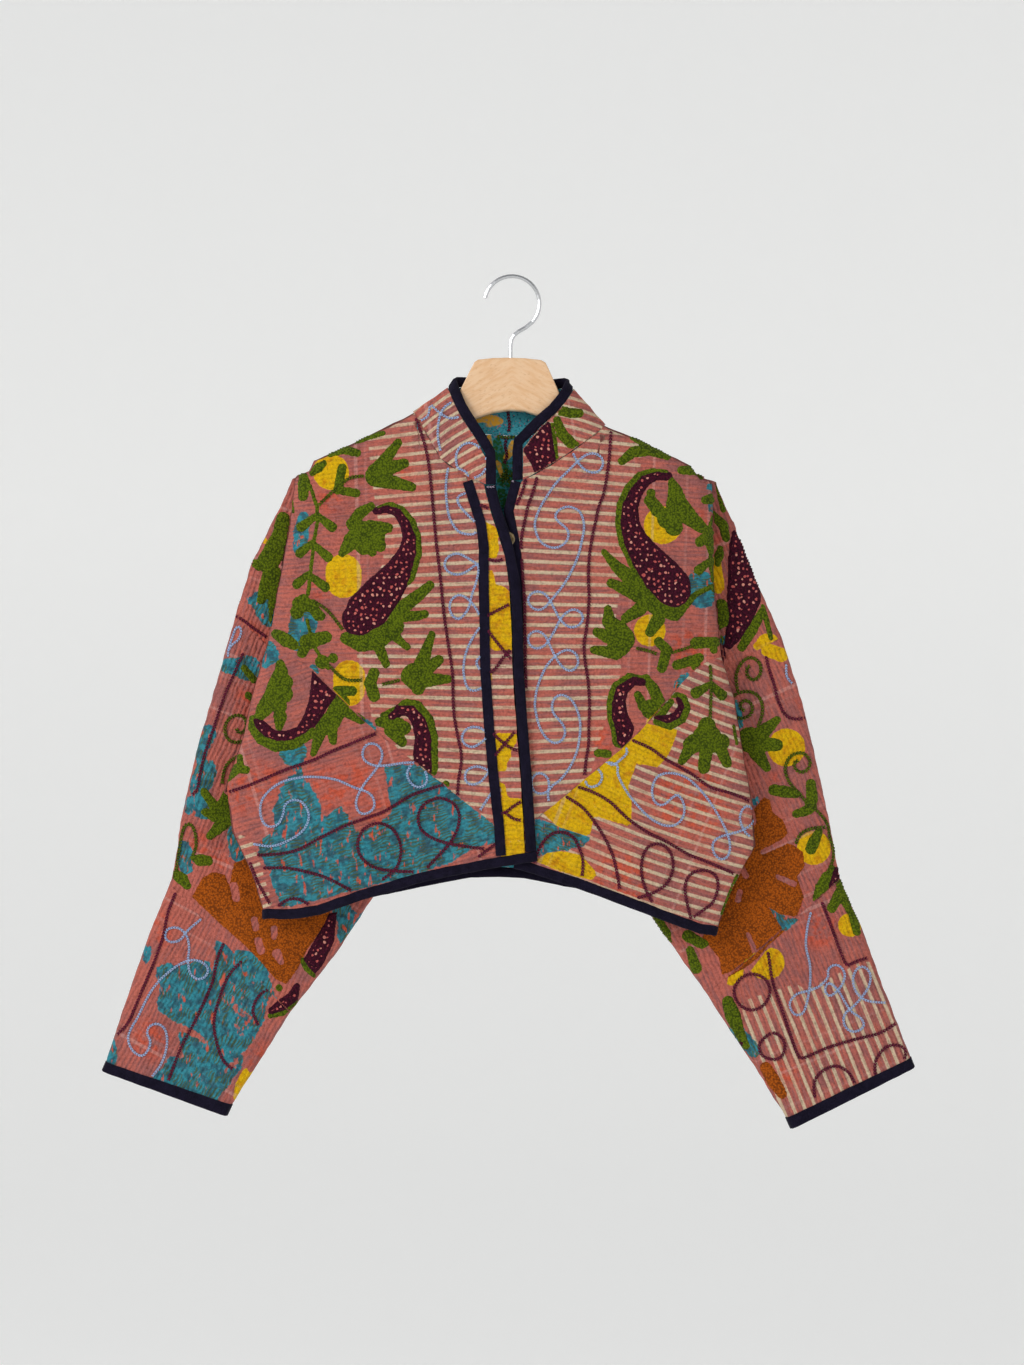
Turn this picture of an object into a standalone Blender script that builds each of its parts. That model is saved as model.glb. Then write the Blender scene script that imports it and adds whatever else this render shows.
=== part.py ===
"""A quilted kantha jacket hanging on a wooden hanger with a metal hook.

The jacket is built as cloth walls of one thickness, one named object for each piece that
a maker would cut and sew on. Lengths in the tables are millimetres: x to the viewer's
right from the jacket's middle line, z up and y away from the viewer, both from the inner
top of the hook, which is the origin. The names right and left are the wearer's, so the
right front is on the viewer's left.

The jacket hangs flat. Each sleeve is sewn to the body at the armhole, which is also where
the cloth folds back. The sleeve goes behind the back, folds again on a slanting line and
hangs down behind the body, so each side shows a wide roll at the body's edge.
"""

import math

import bpy
import numpy as np

MM = 0.001
# The tables' zero lies this far to the viewer's left of the hook's inner top, which is the origin.
TABLE_X = 3.0

# Thickness of the cloth and of its bindings, and the gap left at every seam.
CLOTH = 2.2
BINDING = 3.6
BINDING_WIDTH = 9.7
SEAM = 0.3

# The sleeve is a flattened tube: half of the space between its walls, wall middle to wall middle.
HALF_GAP = 4.5
# The first fold turns the body's edge back. The second sends the sleeve down again.
FOLD_Y = 6.5
SECOND_FOLD_Y = 22.5
FOLD_MIDDLE = 8.0
FOLD_OUTER = FOLD_MIDDLE + HALF_GAP
FOLD_INNER = FOLD_MIDDLE - HALF_GAP
FOLD_INSET = FOLD_OUTER + CLOTH / 2
SIDE_INSET = HALF_GAP + CLOTH / 2
BODY_Y = FOLD_Y - FOLD_MIDDLE

# Belly of the two fronts, and how far each one moves at the overlap.
BELLY = 8.0
FRONT_REST = 2.3

HOOK_WIRE = 4.0
HOOK_RING = 27.5

COLOURS = {
    "cloth": (0.56, 0.20, 0.14, 1.0),
    "binding": (0.012, 0.013, 0.040, 1.0),
    "wood": (0.72, 0.46, 0.26, 1.0),
    "steel": (0.55, 0.55, 0.54, 1.0),
    "horn": (0.16, 0.10, 0.04, 1.0),
}

# Edge of the body as seen: x, z, lean of its outward normal in degrees, and share of side seam.
RIGHT_EDGE = (
    (-214.5, -201.5, 0.0, 0.0),
    (-219.0, -242.0, 6.0, 0.0),
    (-226.0, -282.0, 9.0, 0.0),
    (-238.0, -348.0, 12.0, 0.0),
    (-247.0, -382.0, 15.0, 0.0),
    (-259.0, -422.0, 15.0, 0.0),
    (-271.0, -482.0, 18.0, 0.0),
    (-284.0, -508.0, 16.0, 0.0),
    (-291.0, -522.0, 0.0, 0.3),
    (-285.0, -538.0, -18.0, 1.0),
    (-261.0, -582.0, -22.0, 1.0),
    (-246.0, -631.0, -14.0, 1.0),
)
LEFT_EDGE = (
    (204.5, -207.0, 0.0, 0.0),
    (204.5, -250.0, 0.0, 0.0),
    (205.0, -298.0, 2.0, 0.0),
    (208.0, -334.0, 7.0, 0.0),
    (213.0, -377.0, 12.0, 0.0),
    (226.0, -422.0, 14.0, 0.0),
    (236.0, -482.0, 11.0, 0.0),
    (246.0, -538.0, 8.0, 0.0),
    (249.0, -552.0, 0.0, 0.3),
    (246.0, -568.0, -16.0, 1.0),
    (226.0, -602.0, -24.0, 1.0),
    (209.0, -648.0, -16.0, 1.0),
)

# Top of a front: x, z, share of shoulder roll, and place along the seam below it.
RIGHT_FRONT_TOP = (
    (-195.0, -183.0, 1.0, 0.05),
    (-180.0, -176.5, 1.0, 0.12),
    (-160.0, -167.0, 1.0, 0.21),
    (-140.0, -157.5, 1.0, 0.30),
    (-118.0, -146.5, 1.0, 0.40),
    (-95.0, -135.0, 1.0, 0.51),
    (-91.5, -141.0, 0.3, 0.54),
    (-88.0, -147.0, 0.0, 0.58),
    (-80.0, -161.0, 0.0, 0.65),
    (-68.0, -182.0, 0.0, 0.77),
    (-57.0, -190.0, 0.0, 0.88),
    (-46.5, -197.5, 0.0, 1.0),
)
LEFT_FRONT_TOP = (
    (181.0, -187.5, 1.0, 0.06),
    (165.0, -179.5, 1.0, 0.14),
    (148.0, -171.0, 1.0, 0.22),
    (131.0, -162.0, 1.0, 0.31),
    (113.0, -155.0, 1.0, 0.40),
    (95.0, -148.0, 1.0, 0.50),
    (91.5, -152.5, 0.3, 0.52),
    (88.0, -156.0, 0.0, 0.55),
    (80.0, -162.0, 0.0, 0.60),
    (62.0, -175.0, 0.0, 0.72),
    (40.0, -189.5, 0.0, 0.86),
    (13.6, -204.0, 0.0, 1.0),
)
# Neck edge of the back between the two shoulder points, in the same columns.
BACK_NECK = (
    (-88.0, -138.0, 0.3, 0.33),
    (-80.0, -141.0, 0.0, 0.36),
    (-60.0, -150.0, 0.0, 0.40),
    (-32.0, -155.0, 0.0, 0.45),
    (0.0, -157.0, 0.0, 0.51),
    (32.0, -156.0, 0.0, 0.57),
    (60.0, -154.0, 0.0, 0.62),
    (80.0, -152.0, 0.0, 0.66),
    (88.0, -150.5, 0.3, 0.69),
)

# Seams and hems: x, z.
RIGHT_SEAM = (
    (-224.0, -375.0),
    (-198.0, -389.0),
    (-168.0, -419.0),
    (-132.0, -454.0),
    (-66.0, -505.0),
    (-14.0, -548.0),
)
LEFT_SEAM = (
    (199.0, -382.0),
    (179.0, -397.0),
    (138.0, -444.0),
    (122.0, -462.0),
    (87.0, -491.0),
    (34.0, -535.0),
    (15.4, -549.0),
)
BACK_SEAM = (
    (-224.0, -375.0),
    (-150.0, -430.0),
    (-70.0, -483.0),
    (0.0, -508.0),
    (70.0, -486.0),
    (140.0, -436.0),
    (199.0, -382.0),
)
RIGHT_HEM = ((-240.5, -631.0), (-199.0, -629.0), (-156.0, -613.0), (-85.0, -592.0), (-8.2, -577.0))
LEFT_HEM = ((203.5, -649.0), (181.0, -641.0), (124.0, -619.0), (73.0, -600.0), (15.6, -581.5))
BACK_HEM = (
    (-240.5, -631.0),
    (-199.0, -628.0),
    (-150.0, -612.0),
    (-44.0, -590.0),
    (0.0, -589.0),
    (21.0, -591.0),
    (52.0, -598.0),
    (113.0, -608.0),
    (141.0, -617.0),
    (203.5, -649.0),
)

# Lines down the front opening, z then x: seam of the band, free edge, and edge of the front beneath.
BAND_SEAM = ((-197.0, -43.5), (-229.0, -33.3), (-241.0, -29.3), (-251.0, -26.9), (-260.0, -25.4),
             (-275.0, -24.8), (-300.0, -25.2), (-331.0, -24.5), (-390.0, -23.6), (-414.0, -23.0),
             (-438.0, -20.7), (-486.0, -16.3), (-510.0, -14.3), (-534.0, -10.6), (-577.0, -8.0))
FREE_EDGE = ((-207.0, -14.0), (-224.0, -10.5), (-236.0, -7.0), (-246.0, -3.0), (-258.0, 0.4),
             (-270.0, 3.8), (-282.0, 7.6), (-292.0, 9.6), (-331.0, 13.0), (-390.0, 14.3),
             (-422.0, 16.0), (-450.0, 18.5), (-486.0, 21.5), (-522.0, 24.0), (-577.0, 27.0))
UNDER_EDGE = ((-203.0, 7.8), (-216.0, 4.2), (-228.0, 0.8), (-236.0, -0.8), (-243.0, 0.4),
              (-250.0, 2.4), (-262.0, 6.1), (-270.0, 7.4), (-294.0, 8.4), (-331.0, 9.2),
              (-422.0, 9.0), (-522.0, 9.4), (-581.0, 10.4))

# Collar: x, z and y on the neck seam, then x, z and y on the middle of its top binding.
COLLAR = (
    (-23.3, -207.6, -16.9, -23.3, -167.5, -16.5),
    (-35.0, -202.8, -16.0, -30.0, -157.0, -16.0),
    (-46.0, -197.0, -14.6, -38.0, -145.0, -15.0),
    (-57.0, -189.6, -12.9, -43.0, -137.0, -13.8),
    (-68.0, -181.4, -11.9, -47.5, -129.0, -12.6),
    (-80.0, -160.4, -9.4, -51.0, -121.0, -11.2),
    (-88.0, -146.4, -8.6, -53.5, -114.5, -8.4),
    (-92.0, -140.0, -5.6, -55.0, -110.5, -4.4),
    (-95.2, -134.6, 0.0, -56.0, -107.0, 0.0),
    (-88.4, -137.0, 5.9, -55.0, -104.5, 4.0),
    (-80.0, -140.2, 9.2, -52.0, -103.0, 7.5),
    (-60.0, -149.2, 10.4, -43.0, -103.0, 11.0),
    (-32.0, -154.2, 12.4, -25.0, -105.5, 14.0),
    (0.0, -156.2, 13.4, 0.0, -108.0, 15.2),
    (32.0, -155.2, 12.4, 27.0, -107.0, 14.0),
    (60.0, -153.2, 10.4, 46.0, -104.5, 11.0),
    (80.0, -151.2, 9.2, 55.5, -104.0, 7.5),
    (88.4, -149.6, 5.9, 59.0, -105.5, 4.0),
    (95.2, -147.4, 0.0, 60.0, -107.0, 0.0),
    (91.8, -151.6, -5.6, 58.8, -110.5, -5.0),
    (88.0, -155.2, -8.6, 57.0, -114.0, -8.2),
    (80.0, -161.2, -9.0, 53.0, -120.5, -10.0),
    (62.0, -174.2, -10.2, 43.5, -132.0, -11.2),
    (40.0, -188.7, -10.7, 28.6, -145.0, -11.4),
    (13.9, -203.2, -10.2, 14.6, -158.0, -10.8),
)
# The collar's two binding corners, x, z and y: from the neck up to the first and last row above.
COLLAR_START = ((-18.2, -207.4, -17.0), (-18.0, -190.0, -16.9), (-18.6, -176.0, -16.8))
COLLAR_END = ((9.4, -164.5, -10.7), (8.4, -175.0, -10.6), (8.6, -190.0, -10.5), (8.6, -202.4, -10.4))

# A sleeve's rings: x and z of the top, x and z of the underarm, y of its middle, upward bow and
# half of the space between its walls.
# The last two are the ring where the cuff's binding starts and the binding's end.
RIGHT_SLEEVE = (
    (-217.0, -203.0, -63.0, -506.0, 30.5, 0.0, 4.5),
    (-233.6, -240.8, -64.5, -511.0, 30.5, 0.0, 4.6),
    (-257.0, -289.5, -66.5, -517.0, 30.5, 0.0, 5.0),
    (-272.0, -341.9, -69.0, -522.7, 30.5, 0.0, 5.5),
    (-289.2, -405.7, -104.4, -570.2, 30.0, 0.0, 6.0),
    (-308.4, -471.4, -142.8, -615.8, 29.0, 0.0, 6.5),
    (-324.6, -542.2, -180.2, -672.3, 27.5, 0.0, 6.6),
    (-337.1, -612.4, -226.4, -731.7, 25.0, 0.0, 6.6),
    (-357.9, -664.5, -244.1, -760.5, 23.0, 0.0, 6.2),
    (-378.7, -723.7, -266.7, -796.5, 21.0, 0.0, 6.0),
    (-399.4, -788.2, -285.5, -827.1, 19.0, 0.0, 5.6),
    (-403.3, -797.5, -290.8, -838.4, 18.7, 0.0, 5.6),
)
LEFT_SLEEVE = (
    (207.0, -207.0, 65.0, -503.0, 30.5, 0.0, 4.5),
    (226.6, -253.0, 65.4, -507.0, 30.5, 3.0, 4.6),
    (243.0, -300.0, 67.0, -512.0, 30.5, 8.0, 5.0),
    (269.7, -361.9, 71.1, -516.9, 30.5, 14.0, 5.5),
    (289.7, -425.3, 96.6, -555.7, 30.0, 6.0, 6.0),
    (302.9, -481.0, 127.0, -601.1, 29.0, 0.0, 6.5),
    (316.1, -541.8, 162.3, -653.6, 27.5, 0.0, 6.6),
    (328.5, -607.9, 205.6, -713.0, 25.0, 0.0, 6.6),
    (350.4, -658.0, 226.1, -746.9, 23.0, 0.0, 6.2),
    (370.5, -713.4, 252.6, -785.5, 21.0, 0.0, 6.0),
    (398.6, -784.7, 285.2, -839.6, 19.0, 0.0, 5.6),
    (402.4, -794.6, 290.2, -850.7, 18.7, 0.0, 5.6),
)
# Place in those tables of the ring where a seam crosses, and where the cuff piece ends.
UPPER_SEAM = 3
CUFF_SEAM = 7
CUFF_END = 10
# The second fold: x and z of its axis at the top, then at the underarm.
RIGHT_SECOND_FOLD = (-203.3, -198.7, -62.3, -501.7)
LEFT_SECOND_FOLD = (194.5, -202.4, 66.3, -498.4)
# Lower end of the armhole ring: x, z.
RIGHT_ARMHOLE_END = (-277.0, -514.0)
LEFT_ARMHOLE_END = (235.0, -544.0)

# Largest soft folds of the sleeves: start x, z, end x, z, half width, depth (positive goes back).
SLEEVE_FOLDS = (
    (-262.0, -420.0, -306.0, -640.0, 16.0, 2.4),
    (-215.0, -560.0, -300.0, -760.0, 14.0, -2.2),
    (-300.0, -650.0, -352.0, -800.0, 12.0, 2.0),
    (250.0, -440.0, 292.0, -650.0, 16.0, 2.4),
    (190.0, -570.0, 282.0, -770.0, 14.0, -2.2),
    (300.0, -640.0, 350.0, -790.0, 12.0, 2.0),
)
# Largest soft folds of the fronts and the back, in the same columns.
BODY_FOLDS = (
    (-170.0, -230.0, -205.0, -420.0, 18.0, 1.8),
    (-130.0, -300.0, -150.0, -560.0, 24.0, -1.8),
    (-225.0, -460.0, -200.0, -620.0, 16.0, 1.6),
    (-85.0, -440.0, -70.0, -600.0, 18.0, 1.6),
    (160.0, -240.0, 175.0, -400.0, 18.0, 1.8),
    (120.0, -300.0, 135.0, -560.0, 24.0, -1.8),
    (195.0, -470.0, 180.0, -630.0, 16.0, 1.6),
    (70.0, -430.0, 55.0, -600.0, 18.0, 1.6),
)

# Hanger sections from the viewer's left to right: x, top z, bottom z, half thickness, y.
HANGER = (
    (-191.0, -195.5, -201.5, 2.4, -1.3),
    (-188.0, -192.6, -205.0, 3.8, -1.3),
    (-182.0, -189.0, -206.5, 4.4, -1.2),
    (-166.0, -179.5, -199.5, 5.0, -0.8),
    (-129.0, -161.0, -183.0, 5.7, 0.0),
    (-95.0, -146.5, -168.0, 5.8, 0.0),
    (-80.0, -139.5, -161.0, 5.8, 0.0),
    (-65.0, -130.0, -154.0, 6.0, 0.0),
    (-54.0, -119.5, -149.0, 6.6, 0.0),
    (-49.5, -114.0, -147.0, 7.0, 0.0),
    (-46.0, -107.0, -145.5, 7.0, 0.0),
    (-38.0, -91.0, -142.5, 7.0, 0.0),
    (-34.5, -84.5, -141.4, 7.0, 0.0),
    (-31.0, -82.0, -140.0, 7.0, 0.0),
    (-16.0, -80.4, -134.8, 7.0, 0.0),
    (0.0, -80.0, -132.6, 7.0, 0.0),
    (16.0, -80.6, -133.6, 7.0, 0.0),
    (32.0, -82.4, -139.2, 7.0, 0.0),
    (36.5, -85.0, -141.0, 7.0, 0.0),
    (40.0, -92.0, -142.6, 7.0, 0.0),
    (47.5, -109.0, -146.5, 7.0, 0.0),
    (51.0, -117.0, -148.5, 7.0, 0.0),
    (56.0, -124.5, -151.0, 6.6, 0.0),
    (66.0, -139.0, -160.0, 6.0, 0.0),
    (80.0, -150.0, -170.0, 5.8, 0.0),
    (95.0, -157.0, -179.0, 6.0, 0.0),
    (131.0, -171.0, -193.0, 5.7, 0.0),
    (165.0, -188.0, -207.0, 5.0, -0.8),
    (174.0, -193.0, -210.5, 4.4, -1.2),
    (180.0, -197.0, -209.5, 3.8, -1.3),
    (183.0, -200.0, -206.0, 2.4, -1.3),
)

BUTTON = (-1.0, -262.0, 7.0, 1.7)


class Side:
    """One side of the jacket, with all of its tables."""

    def __init__(self, name, out, overlap, edge, front_top, seam, hem, sleeve, second, armhole):
        self.name = name
        self.out = out
        self.overlap = overlap
        self.edge = np.array(edge)
        self.front_top = front_top
        self.seam = seam
        self.hem = hem
        self.sleeve = sleeve
        self.second = np.array(second).reshape(2, 2)
        self.armhole = np.array(armhole)

    def edge_at(self, z):
        """Gives the seen edge, its outward normal, the inset of its roll and its share of side seam."""
        rows = self.edge
        x, lean, share = (np.interp(-z, -rows[:, 1], rows[:, k]) for k in (0, 2, 3))
        lean = math.radians(lean)
        normal = np.array((self.out * math.cos(lean), math.sin(lean)))
        inset = FOLD_INSET * (1 - share) + SIDE_INSET * share
        return np.array((x, z)), normal, inset, share

    def roll_axis(self, z):
        """Gives the point where the flat cloth ends and its roll starts."""
        point, normal, inset, _ = self.edge_at(z)
        return point - normal * inset


RIGHT = Side("right", -1, 4.0, RIGHT_EDGE, RIGHT_FRONT_TOP, RIGHT_SEAM, RIGHT_HEM, RIGHT_SLEEVE,
             RIGHT_SECOND_FOLD, RIGHT_ARMHOLE_END)
LEFT = Side("left", 1, -2.5, LEFT_EDGE, LEFT_FRONT_TOP, LEFT_SEAM, LEFT_HEM, LEFT_SLEEVE,
            LEFT_SECOND_FOLD, LEFT_ARMHOLE_END)
SIDES = (RIGHT, LEFT)

PATCH_ROWS = (0.0, 0.06, 0.12, 0.19, 0.28, 0.4, 0.54, 0.7, 0.85, 1.0)
LOWER_ROWS = (0.0, 0.16, 0.34, 0.52, 0.7, 0.86, 1.0)
ROLL_TURNS = (90.0, 60.0, 30.0)
CAP_TURNS = (90.0, 60.0, 30.0)
SLEEVE_STEPS = (0.0, 0.12, 0.27, 0.42, 0.58, 0.73, 0.88, 1.0)


def smooth(value):
    """Rises from 0 to 1 with level ends."""
    value = min(1.0, max(0.0, value))
    return value * value * (3 - 2 * value)


def unit(vector):
    """Gives the vector at length 1."""
    vector = np.asarray(vector, float)
    return vector / np.linalg.norm(vector)


def point3(flat, y):
    """Sets a point of the hanging plane at a depth."""
    return np.array((flat[0], y, flat[1]))


def flat3(flat):
    """Turns a direction of the hanging plane into space."""
    return np.array((flat[0], 0.0, flat[1]))


TOWARDS = np.array((0.0, -1.0, 0.0))


def fold_depth(table, x, z):
    """Adds up the soft folds at a point."""
    total = 0.0
    for x0, z0, x1, z1, width, depth in table:
        along = np.array((x1 - x0, z1 - z0))
        start = np.array((x - x0, z - z0))
        share = float(start @ along) / float(along @ along)
        inside = smooth((share + 0.25) / 0.4) * smooth((1.25 - share) / 0.4)
        across = (start[0] * along[1] - start[1] * along[0]) / np.linalg.norm(along)
        total += depth * inside * math.exp(-((across / width) ** 2))
    return total


def below_shoulder(x, z):
    """Height of the shoulder line above a point."""
    return -100.0 - 0.5 * abs(x) - z


def front_depth(side, x, z):
    """Depth of the middle of a front's wall."""
    edge = np.interp(-z, -side.edge[:, 1], side.edge[:, 0])
    inside = side.out * (edge - x)
    drop = below_shoulder(x, z)
    rest = 6.0 + FRONT_REST * smooth((inside - 14) / 25)
    belly = BELLY * smooth(inside / 120) * smooth((drop - 15) / 150)
    lap = side.overlap * smooth(1 - abs(x - 5) / 60)
    folds = fold_depth(BODY_FOLDS, x, z) * smooth((inside - 20) / 40) * smooth((drop - 60) / 60)
    return -(rest + belly + lap) + folds


def back_depth(x, z):
    """Depth of the middle of the back's wall."""
    gaps = [side.out * (np.interp(-z, -side.edge[:, 1], side.edge[:, 0]) - x) for side in SIDES]
    inside = min(gaps)
    drop = below_shoulder(x, z)
    shoulder = FRONT_REST * smooth((inside - 30) / 60) * (1 - smooth((drop - 12) / 40))
    neck = 5.0 * math.exp(-((x / 60) ** 2)) * (1 - smooth((-z - 157) / 120))
    return 3.0 + 3.0 * smooth((inside - 14) / 25) + shoulder + neck


def resample(points, shares):
    """Picks points along a line by their share of its length."""
    points = np.array(points, float)
    steps = np.linalg.norm(np.diff(points, axis=0), axis=1)
    length = np.concatenate(([0.0], np.cumsum(steps)))
    length /= length[-1]
    return np.stack([np.interp(shares, length, column) for column in points.T], axis=1)


def coons(top, bottom, left, right, across, down):
    """Fills the four sides of a panel: arrays of points, and the shares across and down."""
    rows = []
    for j, v in enumerate(down):
        row = []
        for i, u in enumerate(across):
            sides = (1 - v) * top[i] + v * bottom[i] + (1 - u) * left[j] + u * right[j]
            corners = (1 - u) * (1 - v) * top[0] + u * (1 - v) * top[-1]
            corners = corners + (1 - u) * v * bottom[0] + u * v * bottom[-1]
            row.append(sides - corners)
        rows.append(row)
    return np.array(rows)


def shoulder_centre(x, z, roll, depths, out):
    """Gives the middle of the shoulder's roll below a top point, its radius, y and up direction."""
    up = unit((0.42 * out * (1.0 if roll > 0.5 else 0.0), 0.907))
    middle = np.array((x, z))
    radius = y = 0.0
    for _ in range(3):
        front, back = depths(*middle)
        radius = (back - front) / 2
        y = (back + front) / 2
        middle = np.array((x, z)) - up * (radius + CLOTH / 2 * roll)
    return middle, radius, y, up


def both_depths(side):
    """Gives the function for the front's and back's depth on one side."""
    return lambda x, z: (front_depth(side, x, z), back_depth(x, z))


def top_columns(side, table):
    """Works out each column's roll at the top of a panel."""
    columns = []
    for x, z, roll, share in table:
        middle, radius, y, up = shoulder_centre(x, z, roll, both_depths(side), side.out)
        columns.append((middle, radius, y, up, roll, share))
    return columns


def corner_column(side):
    """The column at the shoulder's tip, where the edge's roll begins."""
    middle = side.roll_axis(side.edge[0, 1])
    return (middle, HALF_GAP, BODY_Y, np.array((0.0, 1.0)), 1.0, 0.0)


def cap_point(column, turn, facing):
    """A point on the shoulder's roll, with its outward direction. Facing is -1 in front and 1 behind."""
    middle, radius, y, up, roll, _ = column
    angle = math.radians(turn)
    level = np.array((0.0, facing, 0.0))
    up = flat3(up)
    share = math.cos(angle) * roll + (1 - roll)
    place = point3(middle, y) + radius * (level * share + up * math.sin(angle))
    if turn == 90.0:
        place = place + level * SEAM / 2 * roll - up * SEAM / 2 * (1 - roll)
    direction = level * share + up * math.sin(angle) * roll
    return place, unit(direction)


def corner_cap_point(side, turn, cap, facing):
    """A point where the roll of the shoulder meets the roll of the edge."""
    angle = math.radians(turn)
    rise = math.radians(cap)
    outward = flat3((side.out, 0.0)) * math.sin(angle) + TOWARDS * math.cos(angle)
    up = np.array((0.0, 0.0, 1.0))
    axis = point3(side.roll_axis(side.edge[0, 1]), FOLD_Y)
    sense = 1.0 if facing < 0 else -1.0
    centre = axis + outward * FOLD_MIDDLE
    place = centre + HALF_GAP * (sense * outward * math.cos(rise) + up * math.sin(rise))
    if cap == 90.0:
        place = place + outward * sense * SEAM / 2
    if turn == 90.0:
        place[1] -= SEAM / 2
    return place, unit(sense * outward * math.cos(rise) + up * math.sin(rise))


def roll_point(side, z, turn, facing):
    """A point on the roll of the body's edge, with its outward direction."""
    point, normal, inset, share = side.edge_at(z)
    axis = point - normal * inset
    angle = math.radians(turn)
    fold_radius = FOLD_OUTER if facing < 0 else FOLD_INNER
    fold_out = flat3(normal) * math.sin(angle) + TOWARDS * math.cos(angle)
    fold = point3(axis, FOLD_Y) + fold_out * fold_radius
    seam_out = flat3(normal) * math.sin(angle) + np.array((0.0, facing, 0.0)) * math.cos(angle)
    seam = point3(axis, BODY_Y) + seam_out * HALF_GAP
    if turn == 90.0:
        fold[1] -= SEAM / 2
        seam[1] += facing * SEAM / 2
    sense = 1.0 if facing < 0 else -1.0
    direction = fold_out * sense * (1 - share) + seam_out * share
    if np.linalg.norm(direction) < 0.2:
        direction = flat3(normal)
    return fold * (1 - share) + seam * share, unit(direction)


def body_grid(side, facing, columns, top, bottom, left, right, down, depth, caps, rolls):
    """Builds the middle surface of a body panel and its outward directions.

    Columns run from a body edge inwards. Caps adds the shoulder's roll above the first row, and
    rolls lists the sides whose edge roll is added before the first column or after the last.
    """
    across = [column[5] for column in columns]
    flat = coons(top, bottom, left, right, across, down)
    places = []
    directions = []
    for turn in CAP_TURNS if caps else ():
        row = [cap_point(column, turn, facing) for column in columns]
        if facing < 0:
            end = row[-1][0]
            end[0] = opening_line(side, end[2])
            end[1] = depth(end[0], end[2])
        places.append([place for place, _ in row])
        directions.append([direction for _, direction in row])
    for row in flat:
        places.append([point3(point, depth(*point)) for point in row])
        directions.append([np.array((0.0, facing, 0.0)) for _ in row])
    for owner, first in rolls:
        ends = left if first else right
        heights = [edge_height(owner, point) for point in ends]
        for turn in ROLL_TURNS[::-1]:
            extra = [corner_cap_point(owner, turn, cap, facing) for cap in CAP_TURNS] if caps else []
            extra = extra + [roll_point(owner, z, turn, facing) for z in heights]
            for j, (place, direction) in enumerate(extra):
                position = 0 if first else len(places[j])
                places[j].insert(position, place)
                directions[j].insert(position, direction)
    return np.array(places), np.array(directions)


def edge_height(side, axis):
    """Finds the height on the seen edge that belongs to a point on the roll's axis."""
    low = side.edge[-1, 1]
    high = side.edge[0, 1]
    for _ in range(40):
        z = (low + high) / 2
        if side.roll_axis(z)[1] > axis[1]:
            high = z
        else:
            low = z
    return (low + high) / 2


def wall_mesh(places, directions, thickness):
    """Makes a closed wall from rows of middle points and their outward directions."""
    rows, columns, _ = places.shape
    half = directions * thickness / 2
    points = np.concatenate(((places + half).reshape(-1, 3), (places - half).reshape(-1, 3)))
    inner = rows * columns
    faces = []
    for j in range(rows - 1):
        for i in range(columns - 1):
            a = j * columns + i
            b = a + 1
            c = a + columns + 1
            d = a + columns
            faces.append((a, b, c, d))
            faces.append((inner + a, inner + d, inner + c, inner + b))
    rim = [i for i in range(columns)]
    rim += [j * columns + columns - 1 for j in range(1, rows)]
    rim += [(rows - 1) * columns + i for i in range(columns - 2, -1, -1)]
    rim += [j * columns for j in range(rows - 2, 0, -1)]
    for k, a in enumerate(rim):
        b = rim[(k + 1) % len(rim)]
        faces.append((b, a, inner + a, inner + b))
    return points, faces


def tube_mesh(places, directions, thickness):
    """Makes an open tube with a wall from rings of middle points and their outward directions."""
    rings, around, _ = places.shape
    half = directions * thickness / 2
    points = np.concatenate(((places + half).reshape(-1, 3), (places - half).reshape(-1, 3)))
    inner = rings * around
    faces = []
    for j in range(rings - 1):
        for i in range(around):
            a = j * around + i
            b = j * around + (i + 1) % around
            c = b + around
            d = a + around
            faces.append((a, d, c, b))
            faces.append((inner + a, inner + b, inner + c, inner + d))
    for i in range(around):
        b = (i + 1) % around
        faces.append((i, b, inner + b, inner + i))
        last = (rings - 1) * around
        faces.append((last + b, last + i, inner + last + i, inner + last + b))
    return points, faces


def strip_mesh(centres, across, outward, width, thickness):
    """Sweeps a flat section with eased corners along a line."""
    section = ((-0.5, -0.2), (-0.38, -0.5), (0.38, -0.5), (0.5, -0.2),
               (0.5, 0.2), (0.38, 0.5), (-0.38, 0.5), (-0.5, 0.2))
    points = []
    for centre, side, out in zip(centres, across, outward):
        for a, b in section:
            points.append(centre + side * a * width + out * b * thickness)
    count = len(section)
    faces = []
    for j in range(len(centres) - 1):
        for i in range(count):
            a = j * count + i
            b = j * count + (i + 1) % count
            faces.append((a, b, b + count, a + count))
    faces.append(tuple(range(count))[::-1])
    last = (len(centres) - 1) * count
    faces.append(tuple(range(last, last + count)))
    return np.array(points), faces


def material(name):
    """Gives the named plain material, made once."""
    found = bpy.data.materials.get(name)
    if found:
        return found
    made = bpy.data.materials.new(name)
    made.use_nodes = True
    shader = made.node_tree.nodes["Principled BSDF"]
    shader.inputs["Base Color"].default_value = COLOURS[name]
    shader.inputs["Roughness"].default_value = 0.3 if name == "steel" else 0.8
    shader.inputs["Metallic"].default_value = 1.0 if name == "steel" else 0.0
    return made


def add_solid(name, mesh_data, finish, jacket):
    """Makes one named object from points in millimetres, with its faces turned outwards."""
    points, faces = mesh_data
    mesh = bpy.data.meshes.new(name)
    moved = (np.asarray(points, float) - (TABLE_X, 0.0, 0.0)) * MM
    mesh.from_pydata([tuple(point) for point in moved], [], faces)
    mesh.validate()
    corners = np.asarray(points)
    volume = 0.0
    for face in faces:
        a = corners[face[0]]
        for k in range(1, len(face) - 1):
            volume += float(np.dot(a, np.cross(corners[face[k]], corners[face[k + 1]])))
    if volume < 0:
        mesh.flip_normals()
    mesh.materials.append(material(finish))
    made = bpy.data.objects.new(name, mesh)
    jacket.objects.link(made)
    return made


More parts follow.
